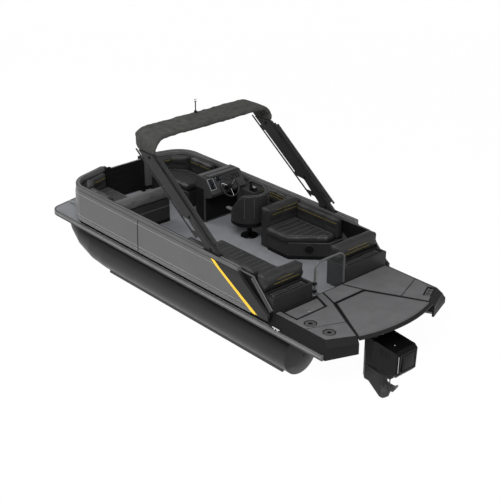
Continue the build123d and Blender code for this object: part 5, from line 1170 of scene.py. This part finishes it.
# frame bars: sides and heights
FRAME_BARS = (
    ((-0.140, -0.124), (0.066, 0.334)), ((0.124, 0.140), (0.066, 0.334)),
    ((-0.140, 0.140), (0.320, 0.334)), ((-0.140, 0.140), (0.066, 0.080)),
)
FRAME_PROUD = 0.004
HIGHLIGHT_STRIP_Y = 0.196
VENT_LOW, VENT_HIGH = (-3.46, 0.206, 0.20), (-3.435, 0.2135, 0.33)
VENT_PITCH, VENT_COUNT = 0.05, 4
rear_panel = (COWL_REAR - 0.002, -0.118, 0.085), (COWL_REAR + PANEL_IN, 0.118, 0.315)
bars("cowl_rear_panel", [rear_panel], ENGINE_GLOSS, "outboard", edge=0.006)
frame_bars = [
    ((COWL_REAR - FRAME_PROUD, ys[0], zs[0]), (COWL_REAR + PANEL_IN, ys[1], zs[1])) for ys, zs in FRAME_BARS
]
bars("cowl_rear_frame", frame_bars, ENGINE_SATIN, "outboard", edge=0.003)
# Painted highlight: a bright steel rod down the cowl's port rear corner, where light catches its edge
corner_highlight = [(COWL_REAR + 0.023, HIGHLIGHT_STRIP_Y, 0.06), (COWL_REAR + 0.018, HIGHLIGHT_STRIP_Y, 0.33)]
rods("cowl_corner_highlight", [corner_highlight], 0.004, STEEL, "outboard", FINE_STEPS)
vents = []
for _, sign in SIDES:
    for i in range(VENT_COUNT):
        aft = Vector((-VENT_PITCH * i, 0, 0))
        vents.append(on_side(sign, Vector(VENT_LOW) + aft, Vector(VENT_HIGH) + aft))
bars("cowl_vents", vents, BLACK_PLASTIC, "outboard", edge=0.002)
rounds("cowl_top_cap", [((-3.60, 0.10, 0.4165), (0.086, 0, 0.996))],
       [(0, 0.006), (0.012, 0.006), (0.016, 0.002), (0.016, 0)], STEEL, "outboard")
rounds("prop_nut", [((-3.5395, 0, -0.380), TO_STERN)],
       [(0, 0.03), (0.014, 0.028), (0.022, 0.014), (0.024, 0)], PROP_PAINT, "propeller")

# Camera, light and floor
LAMPS_LOOK_AT = Vector((0, 0, 0.8))
# lamps: name, place, size, power
LAMPS = (
    ("key", (-7.0, 8.0, 13.0), 6.0, 2300),
    ("fill", (-14.0, -4.0, 8.0), 8.0, 500),
    ("bow_light", (10.0, 3.0, 9.0), 7.0, 900),
)
FLOOR_REACH = 60.0
FLOOR_FADE = {"From Min": 5.0, "From Max": 24.0, "To Min": 0.025, "To Max": 0.0}
WORLD_LOW, WORLD_HIGH = (1, 1, 1, 1), (0.42, 0.42, 0.43, 1)
WORLD_FADE = 0.12


def camera():
    """A camera at the photograph's place."""
    data = bpy.data.cameras.new("camera")
    data.lens = LENS_MM
    data.sensor_width = 36.0
    data.clip_end = 200.0
    obj = bpy.data.objects.new("camera", data)
    obj.location = CAMERA_AT
    obj.rotation_euler = (CAMERA_LOOKS_AT - CAMERA_AT).to_track_quat("-Z", "Y").to_euler()
    bpy.context.scene.collection.objects.link(obj)
    bpy.context.scene.camera = obj


def soft_light(name, place, size, power):
    """A large soft lamp aimed at the boat's middle."""
    data = bpy.data.lights.new(name, "AREA")
    data.size = size
    data.energy = power
    obj = bpy.data.objects.new(name, data)
    obj.location = place
    obj.rotation_euler = (LAMPS_LOOK_AT - Vector(place)).to_track_quat("-Z", "Y").to_euler()
    bpy.context.scene.collection.objects.link(obj)


def floor():
    """A pale floor at the waterline, thin enough that the hull under it shows, and fading out far off."""
    material, tree, bsdf, coords = shader("pale_floor")
    grain = texture(tree, "ShaderNodeTexNoise", coords, 0.6, Detail=3.0)
    tree.links.new(between(tree, grain.outputs["Fac"], 0.85, 0.95), bsdf.inputs["Roughness"])
    bsdf.inputs["Base Color"].default_value = (0.9, 0.9, 0.9, 1)
    bsdf.inputs["Specular IOR Level"].default_value = 0.0
    away = tree.nodes.new("ShaderNodeVectorMath")
    away.operation = "LENGTH"
    tree.links.new(coords, away.inputs[0])
    fade = tree.nodes.new("ShaderNodeMapRange")
    for socket, value in FLOOR_FADE.items():
        fade.inputs[socket].default_value = value
    tree.links.new(away.outputs["Value"], fade.inputs["Value"])
    tree.links.new(fade.outputs["Result"], bsdf.inputs["Alpha"])
    mesh = bpy.data.meshes.new("floor")
    corners = [(x * FLOOR_REACH, y * FLOOR_REACH, 0) for x, y in ((-1, -1), (1, -1), (1, 1), (-1, 1))]
    mesh.from_pydata(corners, [], [(0, 1, 2, 3)])
    mesh.materials.append(material)
    obj = bpy.data.objects.new("floor", mesh)
    bpy.context.scene.collection.objects.link(obj)


def studio_world():
    """A white surround below the horizon and a dimmer one above it."""
    world = bpy.data.worlds.new("studio")
    bpy.context.scene.world = world
    world.use_nodes = True
    tree = world.node_tree
    coords = tree.nodes.new("ShaderNodeTexCoord").outputs["Generated"]
    split = tree.nodes.new("ShaderNodeSeparateXYZ")
    tree.links.new(coords, split.inputs["Vector"])
    ramp = tree.nodes.new("ShaderNodeValToRGB")
    low, high = ramp.color_ramp.elements
    low.position, low.color = 0.0, WORLD_LOW
    high.position, high.color = WORLD_FADE, WORLD_HIGH
    tree.links.new(split.outputs["Z"], ramp.inputs["Fac"])
    tree.links.new(ramp.outputs["Color"], tree.nodes["Background"].inputs["Color"])
    tree.nodes["Background"].inputs["Strength"].default_value = 1.0


camera()
for name, place, size, power in LAMPS:
    soft_light(name, place, size, power)
floor()
studio_world()
bpy.context.scene.view_settings.view_transform = "Standard"
